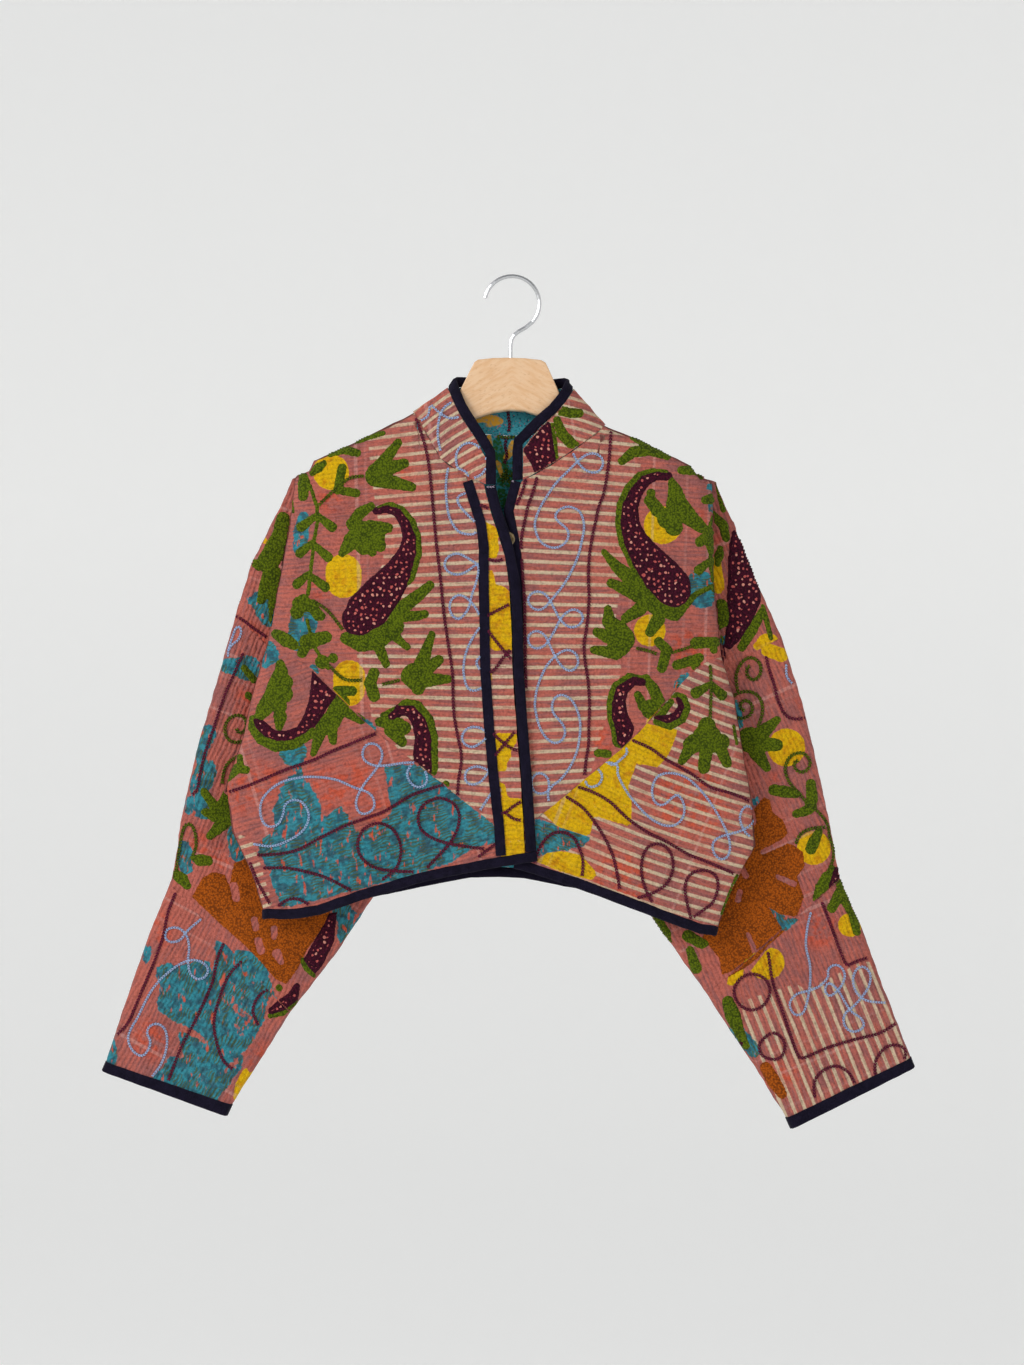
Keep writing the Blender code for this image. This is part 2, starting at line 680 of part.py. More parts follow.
def front_columns(side):
    """All the columns of a front, from its edge to the opening."""
    return [corner_column(side)] + top_columns(side, side.front_top)


def opening_line(side, z):
    """Where a front's own cloth ends at the opening."""
    if side is RIGHT:
        return np.interp(-z, [-row[0] for row in BAND_SEAM], [row[1] for row in BAND_SEAM]) - SEAM / 2
    line = np.interp(-z, [-row[0] for row in UNDER_EDGE], [row[1] for row in UNDER_EDGE])
    return line + BINDING_WIDTH / 2 + SEAM


def opening_heights(side):
    """Heights of the rows where a front ends at the opening, so that what meets it bends in step."""
    column = top_columns(side, side.front_top[-1:])[0]
    caps = [cap_point(column, turn, -1)[0][2] for turn in CAP_TURNS]
    top = column[0][1]
    seam = side.seam[-1][1]
    hem = side.hem[-1][1]
    upper = [top + (seam + SEAM / 2 - top) * v for v in PATCH_ROWS]
    lower = [seam - SEAM / 2 + (hem - seam + SEAM / 2) * v for v in LOWER_ROWS]
    return caps + upper + lower[1:]


def pulled(points, amount):
    """Moves a seam line up or down by half a seam."""
    return np.array([(x, z + amount) for x, z in points])


def front_panels(side, jacket):
    """Builds the upper and the lower panel of one front."""
    columns = front_columns(side)
    across = [column[5] for column in columns]
    seam = resample(side.seam, across)
    hem = resample(side.hem, across)
    top = np.array([column[0] for column in columns])
    for name, upper in (("upper", True), ("lower", False)):
        down = PATCH_ROWS if upper else LOWER_ROWS
        first = top if upper else pulled(seam, -SEAM / 2)
        last = pulled(seam, SEAM / 2) if upper else hem
        start = edge_height(side, first[0])
        end = edge_height(side, last[0]) if upper else side.edge[-1, 1]
        left = np.array([side.roll_axis(start + (end - start) * v) for v in down])
        heights = [first[-1][1] + (last[-1][1] - first[-1][1]) * v for v in down]
        right = np.array([(opening_line(side, z), z) for z in heights])
        first = first.copy()
        last = last.copy()
        first[0], last[0] = left[0], left[-1]
        first[-1], last[-1] = right[0], right[-1]
        places, directions = body_grid(
            side, -1, columns, first, last, left, right, down,
            lambda x, z: front_depth(side, x, z), upper, ((side, True),),
        )
        add_solid(f"front_{side.name}_{name}", wall_mesh(places, directions, CLOTH), "cloth", jacket)
        if not upper:
            hem_binding(f"hem_binding_{side.name}", places, directions, side, jacket)


def back_columns():
    """All the columns of the back, from the right edge to the left edge."""
    right = [corner_column(RIGHT)] + top_columns(RIGHT, RIGHT_FRONT_TOP[:6])
    left = [corner_column(LEFT)] + top_columns(LEFT, LEFT_FRONT_TOP[:6])
    neck = []
    for x, z, roll, share in BACK_NECK:
        side = RIGHT if x <= 0 else LEFT
        middle, radius, y, up = shoulder_centre(x, z, roll, both_depths(side), side.out)
        neck.append((middle, radius, y, up, roll, share))
    placed = []
    for k, column in enumerate(right):
        placed.append(column[:5] + (k * 0.30 / 6,))
    placed += neck
    for k, column in enumerate(left[::-1]):
        placed.append(column[:5] + (0.72 + k * 0.28 / 6,))
    return placed


def back_panels(jacket):
    """Builds the upper and the lower panel of the back."""
    columns = back_columns()
    across = [column[5] for column in columns]
    seam = resample(BACK_SEAM, across)
    hem = resample(BACK_HEM, across)
    top = np.array([column[0] for column in columns])
    for name, upper in (("upper", True), ("lower", False)):
        down = PATCH_ROWS if upper else LOWER_ROWS
        first = (top if upper else pulled(seam, -SEAM / 2)).copy()
        last = (pulled(seam, SEAM / 2) if upper else hem).copy()
        ends = []
        for side, k in ((RIGHT, 0), (LEFT, -1)):
            start = edge_height(side, first[k])
            end = edge_height(side, last[k]) if upper else side.edge[-1, 1]
            line = np.array([side.roll_axis(start + (end - start) * v) for v in down])
            first[k], last[k] = line[0], line[-1]
            ends.append(line)
        places, directions = body_grid(
            None, 1, columns, first, last, ends[0], ends[1], down,
            back_depth, upper, ((RIGHT, True), (LEFT, False)),
        )
        add_solid(f"back_{name}", wall_mesh(places, directions, CLOTH), "cloth", jacket)
        if not upper:
            hem_binding("hem_binding_back", places, directions, None, jacket)


def hem_binding(name, places, directions, side, jacket):
    """Lays a binding below the last row of a panel, at the right front also below its band."""
    row = list(places[-1])
    out = list(directions[-1])
    if side is RIGHT:
        for x, z in ((3.0, -575.35), (15.8, -573.4), (27.0, -571.7)):
            row.append(point3((x, z), front_depth(RIGHT, x, z)))
            out.append(TOWARDS.copy())
    if side is LEFT:
        x, z = 6.5, -579.5
        row.append(point3((x, z), front_depth(LEFT, x, z)))
        out.append(TOWARDS.copy())
    row = np.array(row)
    out = np.array(out)
    tangent = np.gradient(row, axis=0)
    across = []
    for step, direction in zip(tangent, out):
        way = unit(np.cross(step, direction))
        across.append(way if way[2] < 0 else -way)
    across = np.array(across)
    if side is not None:
        for k in range(4):
            across[k] = unit(across[k] * (k / 4) + across[4] * (1 - k / 4))
    centres = row + across * (BINDING_WIDTH / 2 + SEAM)
    add_solid(name, strip_mesh(centres, across, out, BINDING_WIDTH, BINDING), "binding", jacket)


def line_strip(name, line, heights, side, width, thickness, lift, jacket):
    """Lays a strip on or beside a front, along a table of z and x."""
    table = np.array(line)
    places = []
    for z in heights:
        x = np.interp(-z, -table[:, 0], table[:, 1])
        places.append(point3((x, z), front_depth(side, x, z) - lift))
    places = np.array(places)
    tangent = np.gradient(places, axis=0)
    across = []
    for place, step in zip(places, tangent):
        level = unit((-step[2], step[0]))
        ends = [place[[0, 2]] + level * width / 2 * sense for sense in (-1, 1)]
        low, high = (point3(end, front_depth(side, *end)) for end in ends)
        across.append(unit(high - low))
    across = np.array(across)
    outward = np.array([unit(np.cross(across[k], tangent[k])) for k in range(len(places))])
    outward = np.array([way if way[1] < 0 else -way for way in outward])
    add_solid(name, strip_mesh(places, across, outward, width, thickness), "binding", jacket)


def opening(jacket):
    """Builds the band of the right front, the bindings of the opening and the button."""
    seam = np.array(BAND_SEAM)
    edge = np.array(FREE_EDGE)
    heights = opening_heights(RIGHT)
    top, bottom = heights[0], heights[-1]
    rows = []
    for level in heights:
        row = []
        for u in (0.0, 0.35, 0.7, 1.0):
            z = level - 10.4 * u + 14.0 * u * (level - top) / (bottom - top)
            left = np.interp(-z, -seam[:, 0], seam[:, 1]) + SEAM / 2
            right = np.interp(-z, -edge[:, 0], edge[:, 1]) - BINDING_WIDTH - 5 * SEAM
            x = left + (right - left) * u
            row.append(point3((x, z), front_depth(RIGHT, x, z)))
        rows.append(row)
    places = np.array(rows)
    directions = np.broadcast_to(TOWARDS, places.shape)
    add_solid("front_band", wall_mesh(places, directions, CLOTH), "cloth", jacket)
    free = [(z, x - BINDING_WIDTH / 2) for z, x in FREE_EDGE]
    below = [z for z in opening_heights(RIGHT) if -571.0 < z < -213.0]
    heights = [-209.2] + below + [-571.9]
    line_strip("front_edge_binding_right", free, heights, RIGHT, BINDING_WIDTH, BINDING, 0.0, jacket)
    lift = CLOTH / 2 + SEAM + 0.6
    heights = [-204.5] + below + [-576.0]
    line_strip("band_binding", BAND_SEAM, heights, RIGHT, BINDING_WIDTH, 1.2, lift, jacket)
    below = [z for z in opening_heights(LEFT) if -575.0 < z < -208.0]
    heights = [-204.4] + below + [-579.0]
    line_strip("front_edge_binding_left", UNDER_EDGE, heights, LEFT, BINDING_WIDTH, BINDING, 0.0, jacket)
    button(jacket)


def button(jacket):
    """Builds the round button between the two edges, with a dished face."""
    x, z, radius, thickness = BUTTON
    front = front_depth(RIGHT, x - radius, z) + BINDING / 2
    back = front_depth(LEFT, x + 6, z) - BINDING / 2
    middle = (front + back) / 2
    profile = ((0.0, 0.30), (0.55, 0.30), (0.72, 0.5), (0.92, 0.5), (1.0, 0.2),
               (1.0, -0.2), (0.9, -0.5), (0.0, -0.5))
    count = 20
    points = []
    for share, level in profile:
        for k in range(count if share else 1):
            turn = 2 * math.pi * k / count
            points.append((x + radius * share * math.cos(turn), middle - thickness * level,
                           z + radius * share * math.sin(turn)))
    faces = []
    last = len(points) - 1
    for k in range(count):
        faces.append((0, 1 + (k + 1) % count, 1 + k))
        for ring in range(len(profile) - 3):
            a = 1 + ring * count + k
            b = 1 + ring * count + (k + 1) % count
            faces.append((a, b, b + count, a + count))
        base = 1 + (len(profile) - 3) * count
        faces.append((last, base + k, base + (k + 1) % count))
    add_solid("button", (np.array(points), faces), "horn", jacket)


def collar(jacket):
    """Builds the standing collar and the binding round its top and its two ends."""
    table = np.array(COLLAR)
    low = table[:, [0, 2, 1]]
    high = table[:, [3, 5, 4]]
    rise = np.array([unit(step) for step in high - low])
    along = np.gradient((low + high) / 2, axis=0)
    outward = np.array([unit(np.cross(rise[k], along[k])) for k in range(len(table))])
    start = np.array(COLLAR_START)[:, [0, 2, 1]]
    end = np.array(COLLAR_END)[:, [0, 2, 1]]
    centres = np.concatenate((start, high[:-1], end))
    tangent = np.gradient(centres, axis=0)
    facing = np.concatenate(([outward[0]] * 3, outward[:-1], [outward[-1]] * 4))
    across = np.array([unit(np.cross(facing[k], tangent[k])) for k in range(len(centres))])
    facing = np.array([unit(np.cross(tangent[k], across[k])) for k in range(len(centres))])
    mesh_data = strip_mesh(centres, across, facing, BINDING_WIDTH, BINDING)
    add_solid("collar_binding", mesh_data, "binding", jacket)
    # A column that meets the binding at a slant stops farther below its middle line.
    slant = np.abs(np.sum(rise * across[3:3 + len(rise)], axis=1))
    reach = (BINDING_WIDTH / 2 + 3 * SEAM) / np.maximum(0.45, slant)
    reach[[0, -1]] += 3.0
    bottom = low + rise * SEAM
    top = high - rise * reach[:, None]
    rows = [top * share + bottom * (1 - share) for share in (1.0, 0.66, 0.33, 0.0)]
    directions = np.array([outward for _ in rows])
    add_solid("collar", wall_mesh(np.array(rows), directions, CLOTH), "cloth", jacket)


def ring_of(points, radial, half_gap=HALF_GAP):
    """Closes one flattened ring round a line of middle points, with its outward directions."""
    down = unit(points[1] - points[0])
    rise = unit(points[-1] - points[-2])
    places = []
    directions = []
    for point, way in zip(points, radial):
        places.append(point + way * half_gap)
        directions.append(way)
    for turn in (45.0, 90.0, 135.0):
        angle = math.radians(turn)
        way = radial[-1] * math.cos(angle) + rise * math.sin(angle)
        places.append(points[-1] + way * half_gap)
        directions.append(way)
    for point, way in zip(points[::-1], radial[::-1]):
        places.append(point - way * half_gap)
        directions.append(-way)
    for turn in (135.0, 90.0, 45.0):
        angle = math.radians(turn)
        way = radial[0] * math.cos(angle) - down * math.sin(angle)
        places.append(points[0] + way * half_gap)
        directions.append(way)
    return np.array(places), np.array(directions)


def first_fold_rings(side):
    """Rings from the armhole round the first fold and behind the back to the second fold."""
    top = side.roll_axis(side.edge[0, 1])
    base = side.armhole
    steps = np.array(SLEEVE_STEPS)
    curved = []
    normals = []
    for share in steps:
        z = edge_height(side, top + (base - top) * share)
        curved.append(side.roll_axis(z))
        normals.append(side.edge_at(z)[1])
    curved = np.array(curved)
    rings = []
    for turn in (90.0, 120.0, 150.0, 180.0):
        angle = math.radians(turn)
        points = []
        radial = []
        for axis, normal in zip(curved, normals):
            way = flat3(normal) * math.sin(angle) + TOWARDS * math.cos(angle)
            radial.append(way)
            points.append(point3(axis, FOLD_Y) + way * FOLD_MIDDLE)
        points = np.array(points)
        if turn == 90.0:
            points[:, 1] += SEAM / 2
        rings.append(ring_of(points, np.array(radial)))
    straight = top + (base - top) * steps[:, None]
    bend = curved - straight
    level = FOLD_Y + FOLD_MIDDLE
    for share in (0.2, 0.4, 0.6, 0.8):
        start = top + (side.second[0] - top) * share
        end = base + (side.second[1] - base) * share
        line = start + (end - start) * steps[:, None] + bend * max(0.0, 1 - share * 1.4)
        points = np.array([point3(point, level) for point in line])
        rings.append(ring_of(points, np.array([-TOWARDS for _ in points])))
    return rings


def second_fold_rings(side):
    """Rings round the second fold, which faces the centre back."""
    start, end = side.second
    way = unit(end - start)
    normal = np.array((way[1], -way[0])) * side.out
    rings = []
    for turn in (0.0, 45.0, 90.0, 135.0, 180.0):
        angle = math.radians(turn)
        outward = flat3(normal) * math.sin(angle) + TOWARDS * math.cos(angle)
        line = [start + (end - start) * share for share in SLEEVE_STEPS]
        points = np.array([point3(point, SECOND_FOLD_Y) + outward * FOLD_MIDDLE for point in line])
        rings.append(ring_of(points, np.array([-outward for _ in points])))
    return rings


def hanging_rings(side, first, last):
    """Rings of the part that hangs down, by their place in the sleeve's table."""
    rings = []
    for x0, z0, x1, z1, y, bow, half_gap in side.sleeve[first:last + 1]:
        start = np.array((x0, z0))
        end = np.array((x1, z1))
        points = []
        for share in SLEEVE_STEPS:
            point = start + (end - start) * share
            point = point + np.array((0.0, bow * 4 * share * (1 - share)))
            depth = y + fold_depth(SLEEVE_FOLDS, *point) * 4 * share * (1 - share)
            points.append(point3(point, depth))
        rings.append(ring_of(np.array(points), np.array([TOWARDS for _ in points]), half_gap))
    return rings


def shortened(rings, start, end):
    """Draws a piece's first and last ring in by half a seam where another piece is sewn on."""
    places = np.array([ring[0] for ring in rings])
    directions = np.array([ring[1] for ring in rings])
    if start:
        step = places[1] - places[0]
        places[0] += step / np.linalg.norm(step, axis=1)[:, None] * SEAM / 2
    if end:
        step = places[-2] - places[-1]
        places[-1] += step / np.linalg.norm(step, axis=1)[:, None] * SEAM / 2
    return places, directions


def sleeve(side, jacket):
    """Builds one sleeve: upper piece with its two folds, middle piece, cuff piece and binding."""
    upper = first_fold_rings(side) + second_fold_rings(side) + hanging_rings(side, 0, UPPER_SEAM)
    pieces = (
        ("upper", shortened(upper, False, True), CLOTH, "cloth"),
        ("middle", shortened(hanging_rings(side, UPPER_SEAM, CUFF_SEAM), True, True), CLOTH, "cloth"),
        ("cuff", shortened(hanging_rings(side, CUFF_SEAM, CUFF_END), True, True), CLOTH, "cloth"),
        ("cuff_binding", shortened(hanging_rings(side, CUFF_END, CUFF_END + 1), True, False),
         BINDING, "binding"),
    )
    for name, (places, directions), thickness, finish in pieces:
        mesh_data = tube_mesh(places, directions, thickness)
        add_solid(f"sleeve_{side.name}_{name}", mesh_data, finish, jacket)


def hanger(jacket):
    """Builds the wooden hanger as one loft from tip to tip, with a hole for the hook's stem."""
    count = 16
    points = []
    for x, top, bottom, half, y in HANGER:
        height = (top - bottom) / 2
        middle = (top + bottom) / 2
        ease = min(2.6, height * 0.45, half * 0.6)
        for k in range(count):
            corner = k // 4
            turn = math.radians(90 * corner + 90 * (k % 4) / 3)
            sy = 1 if corner in (0, 3) else -1
            sz = 1 if corner in (0, 1) else -1
            points.append((x, y + sy * (half - ease) + ease * math.cos(turn),
                           middle + sz * (height - ease) + ease * math.sin(turn)))
    faces = []
    for j in range(len(HANGER) - 1):
        for k in range(count):
            a = j * count + k
            b = j * count + (k + 1) % count
            faces.append((a, b, b + count, a + count))
    faces.append(tuple(range(count))[::-1])
    last = (len(HANGER) - 1) * count
    faces.append(tuple(range(last, last + count)))
    wood = add_solid("hanger", (np.array(points), faces), "wood", jacket)
    bore = []
    for z in (-70.0, -98.3):
        for k in range(24):
            turn = 2 * math.pi * k / 24
            reach = (HOOK_WIRE / 2 + SEAM) / math.cos(math.pi / 24)
            bore.append((1.5 + reach * math.cos(turn), reach * math.sin(turn), z))
    sides = [(k, (k + 1) % 24, 24 + (k + 1) % 24, 24 + k) for k in range(24)]
    ends = [tuple(range(24))[::-1], tuple(range(24, 48))]
    cutter = add_solid("hook_bore_cutter", (np.array(bore), sides + ends), "wood", jacket)
    cutter.hide_render = True
    cut = wood.modifiers.new("hook bore", "BOOLEAN")
    cut.operation = "DIFFERENCE"
    cut.solver = "EXACT"
    cut.object = cutter


def hook(jacket):
    """Builds the hook as one bent wire whose inner top is the origin."""
    centre = (3.0, HOOK_WIRE / 2 - HOOK_RING)
    line = []
    for turn in np.linspace(168.0, -42.0, 22):
        angle = math.radians(turn)
        line.append((centre[0] + HOOK_RING * math.cos(angle), centre[1] + HOOK_RING * math.sin(angle)))
    line += [(16.4, -49.6), (9.6, -53.4), (5.2, -57.0), (2.6, -61.4), (1.6, -66.5)]
    line += [(1.5, -80.0), (1.5, -98.0)]
    curve = bpy.data.curves.new("hook", "CURVE")
    curve.dimensions = "3D"
    curve.bevel_depth = HOOK_WIRE / 2 * MM
    curve.bevel_resolution = 2
    curve.use_fill_caps = True
    spline = curve.splines.new("POLY")
    spline.points.add(len(line) - 1)
    for point, (x, z) in zip(spline.points, line):
        point.co = ((x - TABLE_X) * MM, 0.0, z * MM, 1.0)
    curve.materials.append(material("steel"))
    made = bpy.data.objects.new("hook", curve)
    jacket.objects.link(made)


def main():
    """Clears the scene and builds the jacket, the hanger and the hook."""
    for old in list(bpy.data.objects):
        bpy.data.objects.remove(old)
    jacket = bpy.data.collections.new("kantha_jacket_on_hanger")
    bpy.context.scene.collection.children.link(jacket)
    for side in SIDES:
        front_panels(side, jacket)
    back_panels(jacket)
    opening(jacket)
    collar(jacket)
    for side in SIDES:
        sleeve(side, jacket)
    hanger(jacket)
    hook(jacket)


main()
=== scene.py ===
"""The looks of a kantha jacket on a wooden hanger: quilted cloth, wool embroidery, bindings, wood and wire.

Each cloth piece is a fine copy of its solid with soft creases. Patterns and embroidery are placed as a
viewer sees them: their tables give millimetres across and down the view, whose frame is VIEW_WIDTH wide
with its zero at VIEW_TOP on the plane y = 0, seen from EYE or, for the back, from as far behind.
"""

import logging
import math
from dataclasses import dataclass, field
from enum import Enum

import bmesh
import bpy
import numpy as np
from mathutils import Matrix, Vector, noise
from mathutils.bvhtree import BVHTree


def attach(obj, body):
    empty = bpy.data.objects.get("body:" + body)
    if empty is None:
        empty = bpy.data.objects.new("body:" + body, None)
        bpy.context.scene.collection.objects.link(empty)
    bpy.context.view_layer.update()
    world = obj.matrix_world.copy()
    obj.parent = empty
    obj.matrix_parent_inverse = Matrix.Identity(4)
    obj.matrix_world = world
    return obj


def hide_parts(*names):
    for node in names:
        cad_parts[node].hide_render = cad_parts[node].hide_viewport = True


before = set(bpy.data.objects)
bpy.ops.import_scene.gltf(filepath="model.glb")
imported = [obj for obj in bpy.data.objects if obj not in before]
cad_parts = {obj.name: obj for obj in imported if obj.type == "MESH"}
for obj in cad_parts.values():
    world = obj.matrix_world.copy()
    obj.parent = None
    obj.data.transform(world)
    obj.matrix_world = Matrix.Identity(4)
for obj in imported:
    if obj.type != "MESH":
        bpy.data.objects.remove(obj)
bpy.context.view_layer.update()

LOG = logging.getLogger("jacket")
MM = 0.001
VIEW_WIDTH = 1024.0
VIEW_TOP = 278.0
VIEW_DISTANCE = 2.42
EYE_HEIGHT = -0.4045
EYE = Vector((0.0, -VIEW_DISTANCE, EYE_HEIGHT))
EYE_BEHIND = Vector((0.0, VIEW_DISTANCE, EYE_HEIGHT))
FAR_OUTSIDE = -1e3
NO_STRIPES = -99.0
NO_CALM = (1e3, 1e3)


def srgb(red: int, green: int, blue: int) -> tuple[float, float, float, float]:
    """Turns a colour of 0 to 255 a channel into Blender's linear one.

    Args:
        red: the red channel, 0 to 255.
        green: the green one.
        blue: the blue one.
    Returns:
        The linear colour, with an alpha of 1.
    """
    def channel(value: int) -> float:
        """Turns one channel."""
        share = value / 255
        return share / 12.92 if share <= 0.04045 else ((share + 0.055) / 1.055) ** 2.4

    return (channel(red), channel(green), channel(blue), 1.0)


class Side(Enum):
    """The side that a pattern is seen from."""

    FRONT = "front"
    BACK = "back"

    @property
    def eye(self) -> Vector:
        """The point that this side is seen from."""
        return EYE if self is Side.FRONT else EYE_BEHIND


class Lining(Enum):
    """Where a cloth piece shows the inner layer's print."""

    NOWHERE = "nowhere"
    BEHIND = "behind"
    BEFORE = "before"
    ROUND_NECK = "round the neck"


class Signal:
    """A node's output, so that sums of node values are written as plain sums."""

    def __init__(self, nodes: "Nodes", socket: bpy.types.NodeSocket) -> None:
        """Keeps the output and the material that it is in."""
        self.nodes = nodes
        self.socket = socket

    def __add__(self, other: object) -> "Signal":
        """This value and another together."""
        return self.nodes.math("ADD", self, other)

    def __sub__(self, other: object) -> "Signal":
        """This value less another."""
        return self.nodes.math("SUBTRACT", self, other)

    def __mul__(self, other: object) -> "Signal":
        """This value times another."""
        return self.nodes.math("MULTIPLY", self, other)

    def __truediv__(self, other: object) -> "Signal":
        """This value divided by another."""
        return self.nodes.math("DIVIDE", self, other)

    def __abs__(self) -> "Signal":
        """This value without its sign."""
        return self.nodes.math("ABSOLUTE", self)

    def floor(self) -> "Signal":
        """The whole number below this value."""
        return self.nodes.math("FLOOR", self)

    def fract(self) -> "Signal":
        """What this value has over a whole number."""
        return self.nodes.math("FRACT", self)

    def step(self, low: float, high: float) -> "Signal":
        """0 below low, 1 above high and smooth between, or turned round if low is the higher."""
        ends = {"Value": self, "From Min": low, "From Max": high}
        return self.nodes.value("MapRange", "Result", ends, interpolation_type="SMOOTHSTEP")


class Nodes:
    """A node material, built a node at a time."""

    def __init__(self, name: str) -> None:
        """Starts the material with its Principled shader.

        Args:
            name: the material's name.
        """
        self.material = bpy.data.materials.new(name)
        self.material.use_nodes = True
        self.tree = self.material.node_tree
        self.shader = self.tree.nodes["Principled BSDF"]

    def add(self, kind: str, inputs: dict | None = None, **settings: object) -> bpy.types.Node:
        """Adds a node.

        Args:
            kind: the node's type, without its ShaderNode prefix.
            inputs: values or signals for its inputs, by name or number.
            settings: its own settings.
        Returns:
            The node.
        """
        node = self.tree.nodes.new("ShaderNode" + kind)
        for name, value in settings.items():
            setattr(node, name, value)
        for name, value in (inputs or {}).items():
            self.feed(node.inputs[name], value)
        return node

    def feed(self, socket: bpy.types.NodeSocket, value: object) -> None:
        """Links an input to a signal, or gives it a plain value.

        Args:
            socket: the input.
            value: a signal, a number or a colour.
        """
        if isinstance(value, Signal):
            self.tree.links.new(value.socket, socket)
        else:
            socket.default_value = value

    def value(self, kind: str, output: int | str, inputs: dict | None = None, **settings: object) -> Signal:
        """Adds a node and gives one of its outputs."""
        return Signal(self, self.add(kind, inputs, **settings).outputs[output])

    def math(self, operation: str, *values: object) -> Signal:
        """One sum of up to three numbers or signals."""
        return self.value("Math", 0, dict(enumerate(values)), operation=operation)

    def noise(self, where: Signal, scale: float, detail: float = 2.0) -> Signal:
        """Soft noise from 0 to 1, with that many waves a metre."""
        return self.value("TexNoise", "Fac", {"Vector": where, "Scale": scale, "Detail": detail})

    def wander(self, where: Signal, scale: float, reach: float) -> Signal:
        """Soft noise about 0, of that whole reach."""
        return (self.noise(where, scale) - 0.5) * reach

    def mix(self, share: object, first: object, second: object) -> Signal:
        """Mixes two colours."""
        return self.value("Mix", 2, {"Factor": share, 6: first, 7: second}, data_type="RGBA")

    def split(self, vector: Signal) -> tuple[Signal, ...]:
        """The three numbers of a vector."""
        return tuple(Signal(self, out) for out in self.add("SeparateXYZ", {0: vector}).outputs)

    def joined(self, *values: object) -> Signal:
        """A vector of up to three numbers or signals."""
        return self.value("CombineXYZ", 0, dict(enumerate(values)))

    def parts(self, name: str) -> tuple[Signal, ...]:
        """The three numbers of a vector attribute."""
        return self.split(self.value("Attribute", "Vector", attribute_name=name))

    def place(self) -> Signal:
        """Object coordinates."""
        return self.value("TexCoord", "Object")

    def upright(self, squeeze: float) -> Signal:
        """Object coordinates whose marks are drawn out upwards."""
        return self.value("Mapping", 0, {"Vector": self.place(), "Scale": (1.0, 1.0, squeeze)})

    def bump(self, height: Signal) -> None:
        """Gives the shader a relief whose height is in millimetres."""
        relief = self.value("Bump", "Normal", {"Height": height, "Strength": 1.0, "Distance": MM})
        self.feed(self.shader.inputs["Normal"], relief)

    def surface(self, colour: object, roughness: float, **values: object) -> bpy.types.Material:
        """Sets the shader's colour and plain values, and returns the material.

        Args:
            colour: a colour or a signal.
            roughness: 0 for a mirror, 1 for chalk.
            values: the shader's other inputs, with _ for a space.
        Returns:
            The material.
        """
        for name, value in {"Base_Color": colour, "Roughness": roughness, **values}.items():
            self.feed(self.shader.inputs[name.replace("_", " ")], value)
        return self.material


